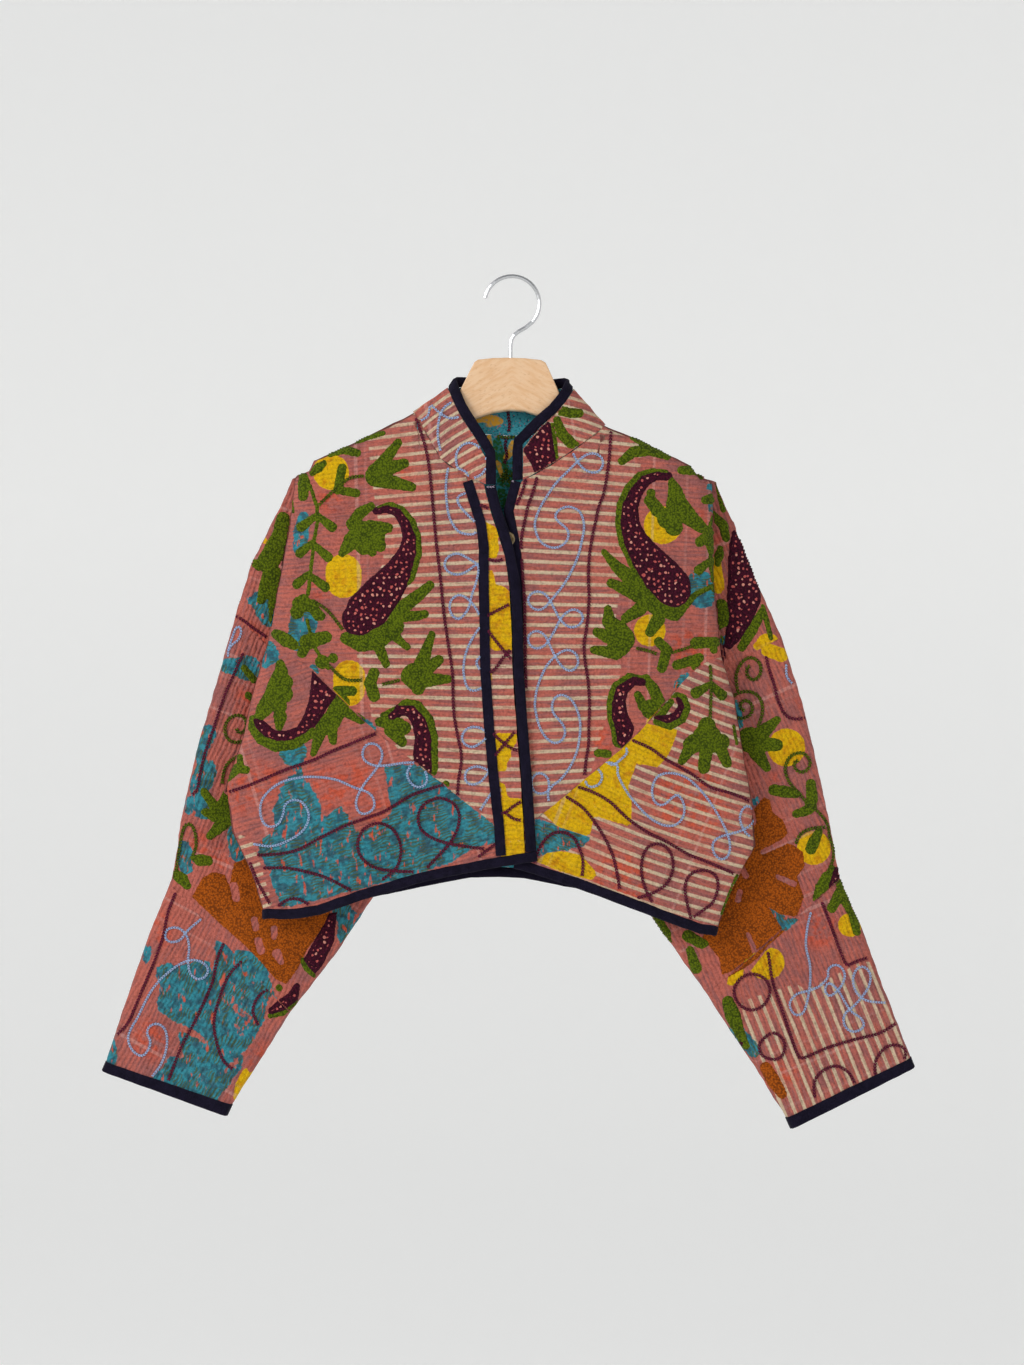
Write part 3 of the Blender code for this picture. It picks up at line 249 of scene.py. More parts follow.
@dataclass(frozen=True)
class QuiltedCotton:
    """Thin printed cotton layers joined by rows of running stitches, with woven stripes and dyed patches."""

    name: str = "quilted cotton"
    ground: tuple = srgb(194, 106, 92)
    worn: tuple = srgb(160, 98, 94)
    warm: tuple = srgb(214, 88, 58)
    stripe: tuple = srgb(220, 198, 166)
    pale: tuple = srgb(232, 178, 168)
    yellow: tuple = srgb(228, 182, 8)
    deep_yellow: tuple = srgb(202, 132, 6)
    teal: tuple = srgb(24, 142, 158)
    deep_teal: tuple = srgb(16, 98, 114)
    leaf: tuple = srgb(66, 92, 38)
    fleck: tuple = srgb(224, 88, 50)
    # Near-black colour of the painted shade in the troughs between stitch rows.
    trough_shade: tuple = (0.02, 0.006, 0.006, 1.0)
    # Near-black colour of the painted shade in the weave's small gaps.
    weave_gap_shade: tuple = (0.03, 0.008, 0.008, 1.0)
    stripe_pitch: float = 10.3
    stripe_share: float = 0.165
    line_pitch: float = 11.0
    row_pitch: float = 4.7
    stitch_pitch: float = 5.0
    ripple_height: float = 0.3
    yarn_height: float = 0.35
    pucker_height: float = 2.3
    streak_height: float = 0.8
    crinkle_height: float = 2.0
    stitch_depth: float = -0.35
    broad_waves: float = 22.0
    mottle_waves: float = 140.0
    yarn_waves: float = 900.0
    streak_waves: float = 0.42
    edge_waves: float = 260.0
    edge_reach: float = 5.0
    stripe_blur: float = 0.045
    warm_strength: float = 0.75
    line_strength: float = 0.3
    teal_strength: float = 0.94
    leaf_strength: float = 0.75
    fleck_strength: float = 0.8

    def material(self) -> bpy.types.Material:
        """Builds the cloth's material, which reads the rows, stripe and paint attributes.

        Returns:
            The material.
        """
        nodes = Nodes(self.name)
        place = nodes.place()
        across, along, line_at = nodes.parts("rows")
        phase, striped, _ = nodes.parts("stripe")
        broad = nodes.noise(place, self.broad_waves, 3.0)
        mottle = nodes.noise(place, self.mottle_waves, 3.0)
        yarn = nodes.noise(place, self.yarn_waves, 1.0)
        streak = nodes.noise(nodes.joined(along * 0.1, across), self.streak_waves, 3.0)
        edge = nodes.wander(place, self.edge_waves, self.edge_reach)
        line = self.thin_line(nodes, line_at)
        colour = self.grounds(nodes, (broad, mottle, streak, edge, line))
        wave = abs((phase / self.stripe_pitch).fract() - 0.5)
        ragged = wave + nodes.wander(place, 500.0, 0.12)
        band = ragged.step(self.stripe_share + self.stripe_blur, self.stripe_share - self.stripe_blur)
        inside = (striped + edge * 0.3).step(-0.8, 0.8)
        faded = yarn.step(0.2, 0.5) * streak.step(0.25, 0.5) * broad.step(0.3, 0.5)
        colour = nodes.mix(band * inside * (faded * 0.45 + 0.5), colour, self.stripe)
        colour = self.prints(nodes, colour, (place, broad, mottle, edge, line, across))
        return self.quilted(nodes, colour, (place, across, along, yarn, streak))

    def grounds(self, nodes: Nodes, tones: tuple[Signal, ...]) -> Signal:
        """The ground cloth's colour: coral, worn mauve and orange, streaked along the yarn.

        Args:
            nodes: the material that is being built.
            tones: the broad, mottled, streaked and edge noises, and the thin lines.
        Returns:
            The ground's colour.
        """
        broad, mottle, streak, edge, line = tones
        _, _, warm = nodes.parts("paint")
        worn = broad * 0.7 + mottle * 0.3 + (streak - 0.5) * 0.9
        colour = nodes.mix(worn.step(0.36, 0.66), self.ground, self.worn)
        warmth = (warm + edge).step(-9.0, 12.0) * mottle.step(0.4, 0.62)
        colour = nodes.mix(warmth * self.warm_strength, colour, self.warm)
        return nodes.mix(line * self.line_strength, colour, self.pale)

    def prints(self, nodes: Nodes, colour: Signal, tones: tuple[Signal, ...]) -> Signal:
        """Lays the teal and yellow prints over a colour.

        Args:
            nodes: the material that is being built.
            colour: what the prints lie on.
            tones: the place, the noises, the thin lines and the distance across the rows.
        Returns:
            The printed cloth's colour.
        """
        place, broad, mottle, edge, line, row_at = tones
        yellow, teal, _ = nodes.parts("paint")
        hatch = nodes.math("SINE", row_at * 1.9 + nodes.noise(place, 60.0) * 26.0).step(-0.1, 0.6)
        flecks = nodes.noise(nodes.upright(0.35), 230.0, 4.0).step(0.6, 0.66)
        tone = nodes.mix(mottle.step(0.42, 0.62), self.teal, self.deep_teal)
        leafy = hatch * nodes.noise(place, 75.0, 1.0).step(0.46, 0.56)
        tone = nodes.mix(leafy * self.leaf_strength, tone, self.leaf)
        tone = nodes.mix(flecks * self.fleck_strength, tone, self.fleck)
        on_teal = (teal + (edge + nodes.wander(place, 95.0, 5.0))).step(-0.5, 0.5)
        colour = nodes.mix(on_teal * self.teal_strength, colour, tone)
        sun = nodes.mix((mottle + (broad - 0.5) * 0.5).step(0.4, 0.85), self.yellow, self.deep_yellow)
        sun = nodes.mix(line * 0.24, sun, self.stripe)
        show = nodes.noise(place, 480.0, 1.0).step(0.2, 0.3)
        on_yellow = (yellow + edge * 0.35).step(-0.4, 0.4)
        return nodes.mix(on_yellow * (show * 0.36 + 0.62), colour, sun)

    def quilted(self, nodes: Nodes, colour: Signal, tones: tuple[Signal, ...]) -> bpy.types.Material:
        """Adds the rows of stitches, their ripples and puckers, and the weave, with painted shade in the
        ripples' troughs and in the weave's small gaps.

        Args:
            nodes: the material that is being built.
            colour: the printed cloth's colour.
            tones: the place, the distances across and along the rows, and two noises.
        Returns:
            The material.
        """
        place, across, along, yarn, streak = tones
        row = across / self.row_pitch + nodes.noise(place, 46.0) * 1.5
        ripple = nodes.math("COSINE", row * (2 * math.pi))
        trough = ripple.step(-0.3, -0.95)
        beat = (along / self.stitch_pitch + row.floor() * 0.47).fract()
        stitch = trough * abs(beat - 0.5).step(0.2, 0.36)
        # Painted shade: the cloth is darkened towards a near-black colour in the troughs between stitch
        # rows, where the bump is low.
        trough_shade_share = trough * (nodes.noise(place, 200.0).step(0.4, 0.62) * 0.3)
        colour = nodes.mix(trough_shade_share, colour, nodes.mix(0.75, colour, self.trough_shade))
        # Painted shade in the weave's small gaps: fine noise darkens the cloth towards a near-black colour,
        # and grain carries this painted shade.
        grain = nodes.noise(place, 420.0, 3.0).step(0.44, 0.66) * 0.3
        grain = nodes.math("MAXIMUM", grain, yarn.step(0.3, 0.75) * 0.25)
        colour = nodes.mix(grain, colour, self.weave_gap_shade)
        pucker = nodes.noise(nodes.joined(along, across * 0.4), 0.24, 3.0)
        crinkle = nodes.noise(place, 170.0, 3.0)
        height = ripple * self.ripple_height + yarn * self.yarn_height + pucker * self.pucker_height
        height = height + streak * self.streak_height + crinkle * self.crinkle_height
        nodes.bump(height + stitch * self.stitch_depth)
        return nodes.surface(colour, 1.0, Sheen_Weight=0.04, Sheen_Roughness=0.6, Specular_IOR_Level=0.05)

    def thin_line(self, nodes: Nodes, line_at: Signal) -> Signal:
        """Sparse pale threads along the weave.

        Args:
            nodes: the material that is being built.
            line_at: millimetres across the threads.
        Returns:
            A signal that is 1 on a pale thread.
        """
        place = line_at / self.line_pitch
        chance = nodes.value("TexWhiteNoise", "Value", {"W": place.floor()}, noise_dimensions="1D")
        offset = abs(place.fract() - (chance * 0.4 + 0.3))
        thin = (chance * 0.12 + 0.06 - offset).step(-0.05, 0.07)
        group = nodes.noise(nodes.joined(line_at * 0.03), 1.0, 1.0)
        return thin * chance.step(0.3, 0.6) * group.step(0.48, 0.6)


@dataclass(frozen=True)
class InsidePrint:
    """The inner layer's print: teal ground with ochre drops, green leaves and dark specks."""

    name: str = "inside print"
    ground: tuple = srgb(66, 150, 164)
    dark: tuple = srgb(24, 84, 98)
    ochre: tuple = srgb(222, 164, 60)
    leaf: tuple = srgb(44, 96, 34)
    speck: tuple = srgb(190, 90, 90)

    def material(self) -> bpy.types.Material:
        """Builds the print's material.

        Returns:
            The material.
        """
        nodes = Nodes(self.name)
        place = nodes.place()
        yellow, green, _ = nodes.parts("paint")
        colour = nodes.mix(nodes.noise(place, 420.0).step(0.48, 0.72), self.ground, self.dark)
        colour = nodes.mix(nodes.noise(place, 520.0, 1.0).step(0.66, 0.72), colour, self.speck)
        hatch = nodes.noise(place, 360.0, 3.0).step(0.42, 0.5)
        colour = nodes.mix(green.step(-0.6, 0.6) * (hatch * 0.5 + 0.45), colour, self.leaf)
        colour = nodes.mix(yellow.step(-0.6, 0.6) * (hatch * 0.4 + 0.6), colour, self.ochre)
        nodes.bump(nodes.noise(place, 500.0) * 0.8)
        return nodes.surface(colour, 1.0, Sheen_Weight=0.04, Specular_IOR_Level=0.05)


@dataclass(frozen=True)
class Wool:
    """Thick wool yarn, laid in dense rows, with small gaps that show the ground if it is open work."""

    name: str
    light: tuple
    dark: tuple
    knot: float = 520.0
    open_work: bool = False
    gap_pale: tuple = srgb(216, 146, 130)
    gap_warm: tuple = srgb(186, 86, 82)
    gap_pitch: float = 172.0
    gap_from: float = 3.4
    gap_shift: tuple = (0.003, 0.003, 0.0)

    def material(self) -> bpy.types.Material:
        """Builds the yarn's material, with painted shade in the pits between its knots.

        Returns:
            The material.
        """
        nodes = Nodes(self.name)
        place = nodes.place()
        cells = nodes.value("TexVoronoi", "Distance", {"Vector": place, "Scale": self.knot})
        fuzz = nodes.noise(place, 1500.0)
        # Painted shade: the dark colour falls in the pits between knots, away from each cell's centre where
        # the bump is low, mixed with random fuzz and patch tone.
        shade = cells.step(0.2, 0.75) * 0.5 + fuzz * 0.5 + nodes.wander(place, 90.0, 0.3)
        colour = nodes.mix(shade.step(0.14, 1.05), self.light, self.dark)
        height = fuzz * 0.5 - cells
        if self.open_work:
            gap, tint = self.gaps(nodes, place)
            ground = nodes.mix(tint.step(0.5, 0.95), self.gap_warm, self.gap_pale)
            colour = nodes.mix(gap, colour, ground)
            height = height - gap
        nodes.bump(height)
        return nodes.surface(colour, 1.0, Sheen_Weight=0.04, Sheen_Roughness=0.7, Specular_IOR_Level=0.04)

    def gaps(self, nodes: Nodes, place: Signal) -> tuple[Signal, Signal]:
        """Uneven small gaps away from the outline.

        Args:
            nodes: the material that is being built.
            place: object coordinates.
        Returns:
            A signal that is 1 in a gap, and a random number of each gap.
        """
        x, _, z = nodes.split(place)
        inset = nodes.value("Attribute", "Fac", attribute_name="inset")
        bent = nodes.value("TexNoise", "Color", {"Vector": place, "Scale": 240.0, "Detail": 1.0})
        shifted = nodes.value("VectorMath", 0, {0: bent, 1: self.gap_shift}, operation="MULTIPLY")
        where = nodes.value("VectorMath", 0, {0: nodes.joined(x, z), 1: shifted}, operation="ADD")
        cell = nodes.add("TexVoronoi", {"Vector": where, "Scale": self.gap_pitch, "Randomness": 0.75},
                         voronoi_dimensions="2D")
        tint = nodes.split(Signal(nodes, cell.outputs["Color"]))
        near = tint[0] * 0.11 + 0.15 - Signal(nodes, cell.outputs["Distance"])
        inside = inset.step(self.gap_from - 0.4, self.gap_from + 0.4)
        return near.step(-0.03, 0.03) * inside, tint[1]


@dataclass(frozen=True)
class Binding:
    """Closely woven navy cotton, folded over an edge."""

    name: str = "navy binding"
    light: tuple = srgb(26, 22, 40)
    dark: tuple = srgb(13, 10, 24)

    def material(self) -> bpy.types.Material:
        """Builds the binding's material.

        Returns:
            The material.
        """
        nodes = Nodes(self.name)
        place = nodes.place()
        weave = nodes.noise(place, 1300.0, 1.0)
        lint = nodes.noise(place, 120.0, 3.0)
        colour = nodes.mix((weave * 0.6 + lint * 0.4).step(0.35, 0.65), self.dark, self.light)
        nodes.bump(weave * 0.3 + lint * 1.1)
        return nodes.surface(colour, 0.95, Sheen_Weight=0.05, Sheen_Roughness=0.5, Specular_IOR_Level=0.08)


@dataclass(frozen=True)
class Beech:
    """Pale beech with short grain flecks that meet in a chevron at the middle joint."""

    name: str = "beech"
    light: tuple = srgb(253, 224, 188)
    dark: tuple = srgb(238, 196, 152)
    fleck: tuple = srgb(182, 134, 98)
    rim: tuple = srgb(206, 156, 108)
    rim_from: float = 0.0048
    rim_to: float = 0.0066

    def material(self) -> bpy.types.Material:
        """Builds the wood's material.

        Returns:
            The material.
        """
        nodes = Nodes(self.name)
        x, y, z = nodes.split(nodes.place())
        rings = nodes.noise(nodes.joined(x * 0.25, y * 0.6, z + abs(x) * 0.55), 260.0, 3.0)
        dash_at = nodes.joined(x * 0.3, y * 0.6, z + abs(x) * 0.3)
        dashes = nodes.noise(dash_at, 900.0).step(0.6, 0.7)
        colour = nodes.mix(rings.step(0.35, 0.7), self.light, self.dark)
        colour = nodes.mix(dashes * 0.45, colour, self.fleck)
        colour = nodes.mix(abs(y).step(self.rim_from, self.rim_to) * 0.55, colour, self.rim)
        nodes.bump(dashes * -0.06)
        return nodes.surface(colour, 0.42, Coat_Weight=0.15, Coat_Roughness=0.3)


@dataclass(frozen=True)
class Plating:
    """Satin plated steel wire with fine drawing marks."""

    name: str = "plated wire"
    colour: tuple = srgb(205, 206, 208)
    mark: tuple = srgb(150, 151, 153)

    def material(self) -> bpy.types.Material:
        """Builds the metal's material.

        Returns:
            The material.
        """
        nodes = Nodes(self.name)
        marks = nodes.noise(nodes.place(), 900.0)
        nodes.bump(marks * 0.03)
        return nodes.surface(nodes.mix(marks * 0.25, self.colour, self.mark), 0.26, Metallic=1.0)


@dataclass(frozen=True)
class Horn:
    """Polished brown horn with cloudy streaks."""

    name: str = "horn"
    light: tuple = srgb(146, 122, 74)
    dark: tuple = srgb(62, 44, 24)

    def material(self) -> bpy.types.Material:
        """Builds the horn's material.

        Returns:
            The material.
        """
        nodes = Nodes(self.name)
        cloud = nodes.noise(nodes.upright(0.3), 260.0, 3.0)
        colour = nodes.mix(cloud.step(0.35, 0.65), self.light, self.dark)
        return nodes.surface(colour, 0.22, Coat_Weight=0.4, Coat_Roughness=0.1)


GREEN = Wool("green wool", srgb(96, 112, 8), srgb(28, 42, 2))
MAROON = Wool("maroon wool", srgb(70, 10, 34), srgb(26, 2, 14), open_work=True)
CORD = Wool("maroon yarn", srgb(116, 30, 60), srgb(52, 8, 28), 700.0)
TACK = Wool("pale thread", srgb(206, 192, 206), srgb(120, 100, 124), 900.0)
OCHRE = Wool("ochre wool", srgb(176, 86, 12), srgb(84, 36, 2))
SKY = Wool("light blue yarn", srgb(190, 210, 240), srgb(132, 158, 208), 900.0)


@dataclass
class Finishes:
    """Every finish, made once."""

    cotton: bpy.types.Material = field(default_factory=QuiltedCotton().material)
    inside: bpy.types.Material = field(default_factory=InsidePrint().material)
    green: bpy.types.Material = field(default_factory=GREEN.material)
    maroon: bpy.types.Material = field(default_factory=MAROON.material)
    cord: bpy.types.Material = field(default_factory=CORD.material)
    tack: bpy.types.Material = field(default_factory=TACK.material)
    ochre: bpy.types.Material = field(default_factory=OCHRE.material)
    sky: bpy.types.Material = field(default_factory=SKY.material)
    navy: bpy.types.Material = field(default_factory=Binding().material)
    beech: bpy.types.Material = field(default_factory=Beech().material)
    steel: bpy.types.Material = field(default_factory=Plating().material)
    horn: bpy.types.Material = field(default_factory=Horn().material)


Points = tuple[tuple[float, ...], ...]


def stroke_depth(stroke: Points, across: np.ndarray, down: np.ndarray) -> np.ndarray:
    """How far points lie inside a rounded stroke of changing width.

    Args:
        stroke: rows of across, down and half width.
        across: the points' first coordinate.
        down: the points' second coordinate.
    Returns:
        Millimetres inside, below 0 outside.
    """
    best = np.full(across.shape, FAR_OUTSIDE)
    rows = stroke if len(stroke) > 1 else stroke * 2
    for (a0, d0, r0), (a1, d1, r1) in zip(rows, rows[1:]):
        length = (a1 - a0) ** 2 + (d1 - d0) ** 2
        share = np.zeros(across.shape)
        if length > 0:
            share = np.clip(((across - a0) * (a1 - a0) + (down - d0) * (d1 - d0)) / length, 0, 1)
        away = np.hypot(across - a0 - share * (a1 - a0), down - d0 - share * (d1 - d0))
        best = np.maximum(best, r0 + share * (r1 - r0) - away)
    return best


def outline_depth(outline: Points, across: np.ndarray, down: np.ndarray) -> np.ndarray:
    """How far points lie inside a straight-sided outline, in millimetres, below 0 outside.

    Args:
        outline: rows of across and down.
        across: the points' first coordinate.
        down: the points' second coordinate.
    Returns:
        Millimetres inside, below 0 outside.
    """
    away = np.full(across.shape, -FAR_OUTSIDE)
    crossed = np.zeros(across.shape, bool)
    for (a0, d0), (a1, d1) in zip(outline, outline[1:] + outline[:1]):
        length = (a1 - a0) ** 2 + (d1 - d0) ** 2
        share = np.clip(((across - a0) * (a1 - a0) + (down - d0) * (d1 - d0)) / length, 0, 1)
        away = np.minimum(away, np.hypot(across - a0 - share * (a1 - a0), down - d0 - share * (d1 - d0)))
        if d0 != d1:
            crossed ^= ((d0 > down) != (d1 > down)) & (across < a0 + (down - d0) * (a1 - a0) / (d1 - d0))
    return np.where(crossed, away, -away)


def shape_depth(items: tuple, across: np.ndarray, down: np.ndarray) -> np.ndarray:
    """How far points lie inside the union of strokes (3 columns) and outlines (2 columns).

    Args:
        items: strokes and outlines.
        across: the points' first coordinate.
        down: the points' second coordinate.
    Returns:
        Millimetres inside, below 0 outside.
    """
    best = np.full(across.shape, FAR_OUTSIDE)
    for shape in items:
        depth = stroke_depth if len(shape[0]) == 3 else outline_depth
        best = np.maximum(best, depth(shape, across, down))
    return best


def curve(points: Points, pitch: float, parts: int = 12) -> list[tuple[float, float]]:
    """Draws a smooth line through a few points and divides it evenly.

    Args:
        points: rows of across and down.
        pitch: the distance between the new points.
        parts: the straight parts of the smooth line between two given points.
    Returns:
        Points along the line.
    """
    knots = [Vector(p) for p in (points[0], *points, points[-1])]
    if (knots[0] - knots[-1]).length < 1e-6 and len(points) > 3:
        knots[0], knots[-1] = Vector(points[-2]), Vector(points[1])
    fine = []
    for before, start, end, after in zip(knots, knots[1:], knots[2:], knots[3:]):
        for step in range(parts):
            t = step / parts
            bent = (2 * before - 5 * start + 4 * end - after) * t * t
            turned = (3 * start - before - 3 * end + after) * t ** 3
            fine.append(0.5 * (2 * start + (end - before) * t + bent + turned))
    fine.append(Vector(points[-1]))
    out, left = [tuple(fine[0])], pitch
    for start, end in zip(fine, fine[1:]):
        length = (end - start).length
        at = 0.0
        while length - at >= left and length > 0:
            at += left
            out.append(tuple(start.lerp(end, at / length)))
            left = pitch
        left -= length - at
    return out


def shapes(text: str) -> tuple:
    """Reads shapes from text: semicolons part shapes, commas their points and spaces a point's numbers."""
    return tuple(tuple(tuple(float(v) for v in point.split()) for point in shape.split(","))
                 for shape in text.split(";") if shape.strip())


def moved(items: tuple, across: float, down: float, turn: float = 0.0, size: float = 1.0,
          flip: bool = False) -> tuple:
    """Moves shapes so that the middle of their points lands on a place, after a turn and a change of size.

    Args:
        items: the shapes.
        across: where their middle goes.
        down: where their middle goes.
        turn: degrees, clockwise as seen.
        size: the change of size.
        flip: whether left and right change over first.
    Returns:
        The new shapes.
    """
    points = [point for item in items for point in item]
    middle = (sum(p[0] for p in points) / len(points), sum(p[1] for p in points) / len(points))
    cosine, sine = math.cos(math.radians(turn)) * size, math.sin(math.radians(turn)) * size
    out = []
    for item in items:
        rows = []
        for point in item:
            a = (point[0] - middle[0]) * (-1 if flip else 1)
            d = point[1] - middle[1]
            rest = tuple(v * size for v in point[2:])
            rows.append((across + a * cosine - d * sine, down + a * sine + d * cosine, *rest))
        out.append(tuple(rows))
    return tuple(out)


@dataclass(frozen=True)
class Weave:
    """How rows of stitches and stripes lie on a panel, in view millimetres."""

    across: float = 0.0
    down: float = 0.0
    angle: float = 0.0
    bend: float = 0.0
    twist: float = 0.0
    region: tuple = ()

    def rows(self, across: np.ndarray, down: np.ndarray) -> tuple[np.ndarray, np.ndarray]:
        """Gives the distance across the rows and along them.

        Args:
            across: millimetres across the view.
            down: millimetres down it.
        Returns:
            Both distances, in view millimetres.
        """
        da, dd = across - self.across, down - self.down
        cosine, sine = math.cos(math.radians(self.angle)), math.sin(math.radians(self.angle))
        along = da * cosine + dd * sine
        return dd * cosine - da * sine + self.bend * along ** 2 + self.twist * da * dd, along


@dataclass(frozen=True)
class Layout:
    """All that one panel shows on one side: prints, stripes, wool fillings and chain-stitched lines."""

    weave: Weave = Weave()
    yellow: tuple = ()
    teal: tuple = ()
    warm: tuple = ()
    green: tuple = ()
    maroon: tuple = ()
    ochre: tuple = ()
    maroon_lines: tuple = ()
    sky_lines: tuple = ()
    green_lines: tuple = ()
    pale_lines: tuple = ()
    bare: tuple = ()


def layout(weave: Weave = Weave(), **items: str | tuple) -> Layout:
    """Makes a layout from texts, or from shapes that are ready."""
    ready = {name: shapes(item) if isinstance(item, str) else item for name, item in items.items()}
    return Layout(weave, **ready)


@dataclass(frozen=True)
class Crease:
    """A soft ridge, or a trough where its height is below 0, between two points of the view."""

    start: tuple[float, float]
    end: tuple[float, float]
    width: float
    height: float

    def relief(self, across: np.ndarray, down: np.ndarray) -> np.ndarray:
        """Millimetres that the crease stands out at those places.

        Args:
            across: millimetres across the view.
            down: millimetres down it.
        Returns:
            The rise at each place, below 0 in a trough.
        """
        da, dd = self.end[0] - self.start[0], self.end[1] - self.start[1]
        share = ((across - self.start[0]) * da + (down - self.start[1]) * dd) / (da * da + dd * dd)
        held = np.clip(share, 0, 1)
        away = np.hypot(across - self.start[0] - held * da, down - self.start[1] - held * dd)
        fade = np.clip(1 - (2 * held - 1) ** 4, 0, 1) * np.clip(1 - np.abs(share - held) * 6, 0, 1)
        return self.height * fade * np.exp(-((away / self.width) ** 2))


def creases(text: str) -> tuple[Crease, ...]:
    """Reads creases from text: from across and down to across and down, then width and height."""
    rows = (tuple(float(v) for v in row.split()) for row in text.split(";") if row.strip())
    return tuple(Crease(row[:2], row[2:4], row[4], row[5]) for row in rows)


def to_view(points: np.ndarray, side: Side) -> tuple[np.ndarray, np.ndarray]:
    """Turns points in metres into places of the view, as the given side's eye sees them.

    Args:
        points: rows of x, y and z.
        side: the side that they are seen from.
    Returns:
        Millimetres across the view and down it.
    """
    depth = points[:, 1] if side is Side.FRONT else -points[:, 1]
    grow = VIEW_DISTANCE / (VIEW_DISTANCE + depth)
    across = VIEW_WIDTH / 2 + points[:, 0] * grow / MM
    down = VIEW_TOP - (EYE_HEIGHT + (points[:, 2] - EYE_HEIGHT) * grow) / MM
    return across, down


class Canvas:
    """A finished cloth surface, on which threads and fillings are laid."""

    def __init__(self, obj: bpy.types.Object) -> None:
        """Keeps the surface of a piece.

        Args:
            obj: the cloth piece.
        """
        mesh = obj.data
        faces = [tuple(p.vertices) for p in mesh.polygons]
        self.tree = BVHTree.FromPolygons([v.co for v in mesh.vertices], faces)

    def place(self, across: float, down: float, side: Side) -> tuple[Vector, Vector] | None:
        """Finds the cloth at a place of the view.

        Args:
            across: millimetres across the view.
            down: millimetres down it.
            side: the side that it is seen from.
        Returns:
            The point and the cloth's direction there, towards the eye, or nothing where there is no cloth.
        """
        aim = Vector(((across - VIEW_WIDTH / 2) * MM, 0.0, (VIEW_TOP - down) * MM))
        ray = (aim - side.eye).normalized()
        spot, normal, _, _ = self.tree.ray_cast(side.eye, ray)
        if spot is None:
            return None
        return spot, -normal if normal.dot(ray) > 0 else normal


def linked(name: str, mesh: bpy.types.Mesh) -> bpy.types.Object:
    """Puts a mesh into the scene.

    Args:
        name: the object's name.
        mesh: its mesh.
    Returns:
        The new object.
    """
    obj = bpy.data.objects.new(name, mesh)
    bpy.context.scene.collection.objects.link(obj)
    return obj


def thread_piece(name: str, points: np.ndarray, faces: np.ndarray, material: bpy.types.Material,
                 inset: np.ndarray) -> bpy.types.Object:
    """Makes a piece of wool or yarn that rides on the jacket.

    Args:
        name: the piece's name.
        points: its vertices in metres.
        faces: rows of vertex numbers, all of one length.
        material: its finish.
        inset: how far each vertex is from the outline, in millimetres.
    Returns:
        The piece.
    """
    mesh = bpy.data.meshes.new(name)
    mesh.from_pydata(points.tolist(), [], faces.tolist())
    mesh.materials.append(material)
    mesh.shade_smooth()
    mesh.update()
    obj = linked(name, mesh)
    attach(obj, "root")
    add_numbers(mesh, "inset", inset)
    return obj


def add_numbers(mesh: bpy.types.Mesh, name: str, values: np.ndarray) -> None:
    """Stores one number, or three, for each vertex.

    Args:
        mesh: the mesh that keeps them.
        name: the attribute's name.
        values: one row for each vertex.
    """
    kind, field_name = ("FLOAT_VECTOR", "vector") if values.ndim == 2 else ("FLOAT", "value")
    layer = mesh.attributes.new(name, kind, "POINT")
    layer.data.foreach_set(field_name, values.astype(np.float32).ravel())


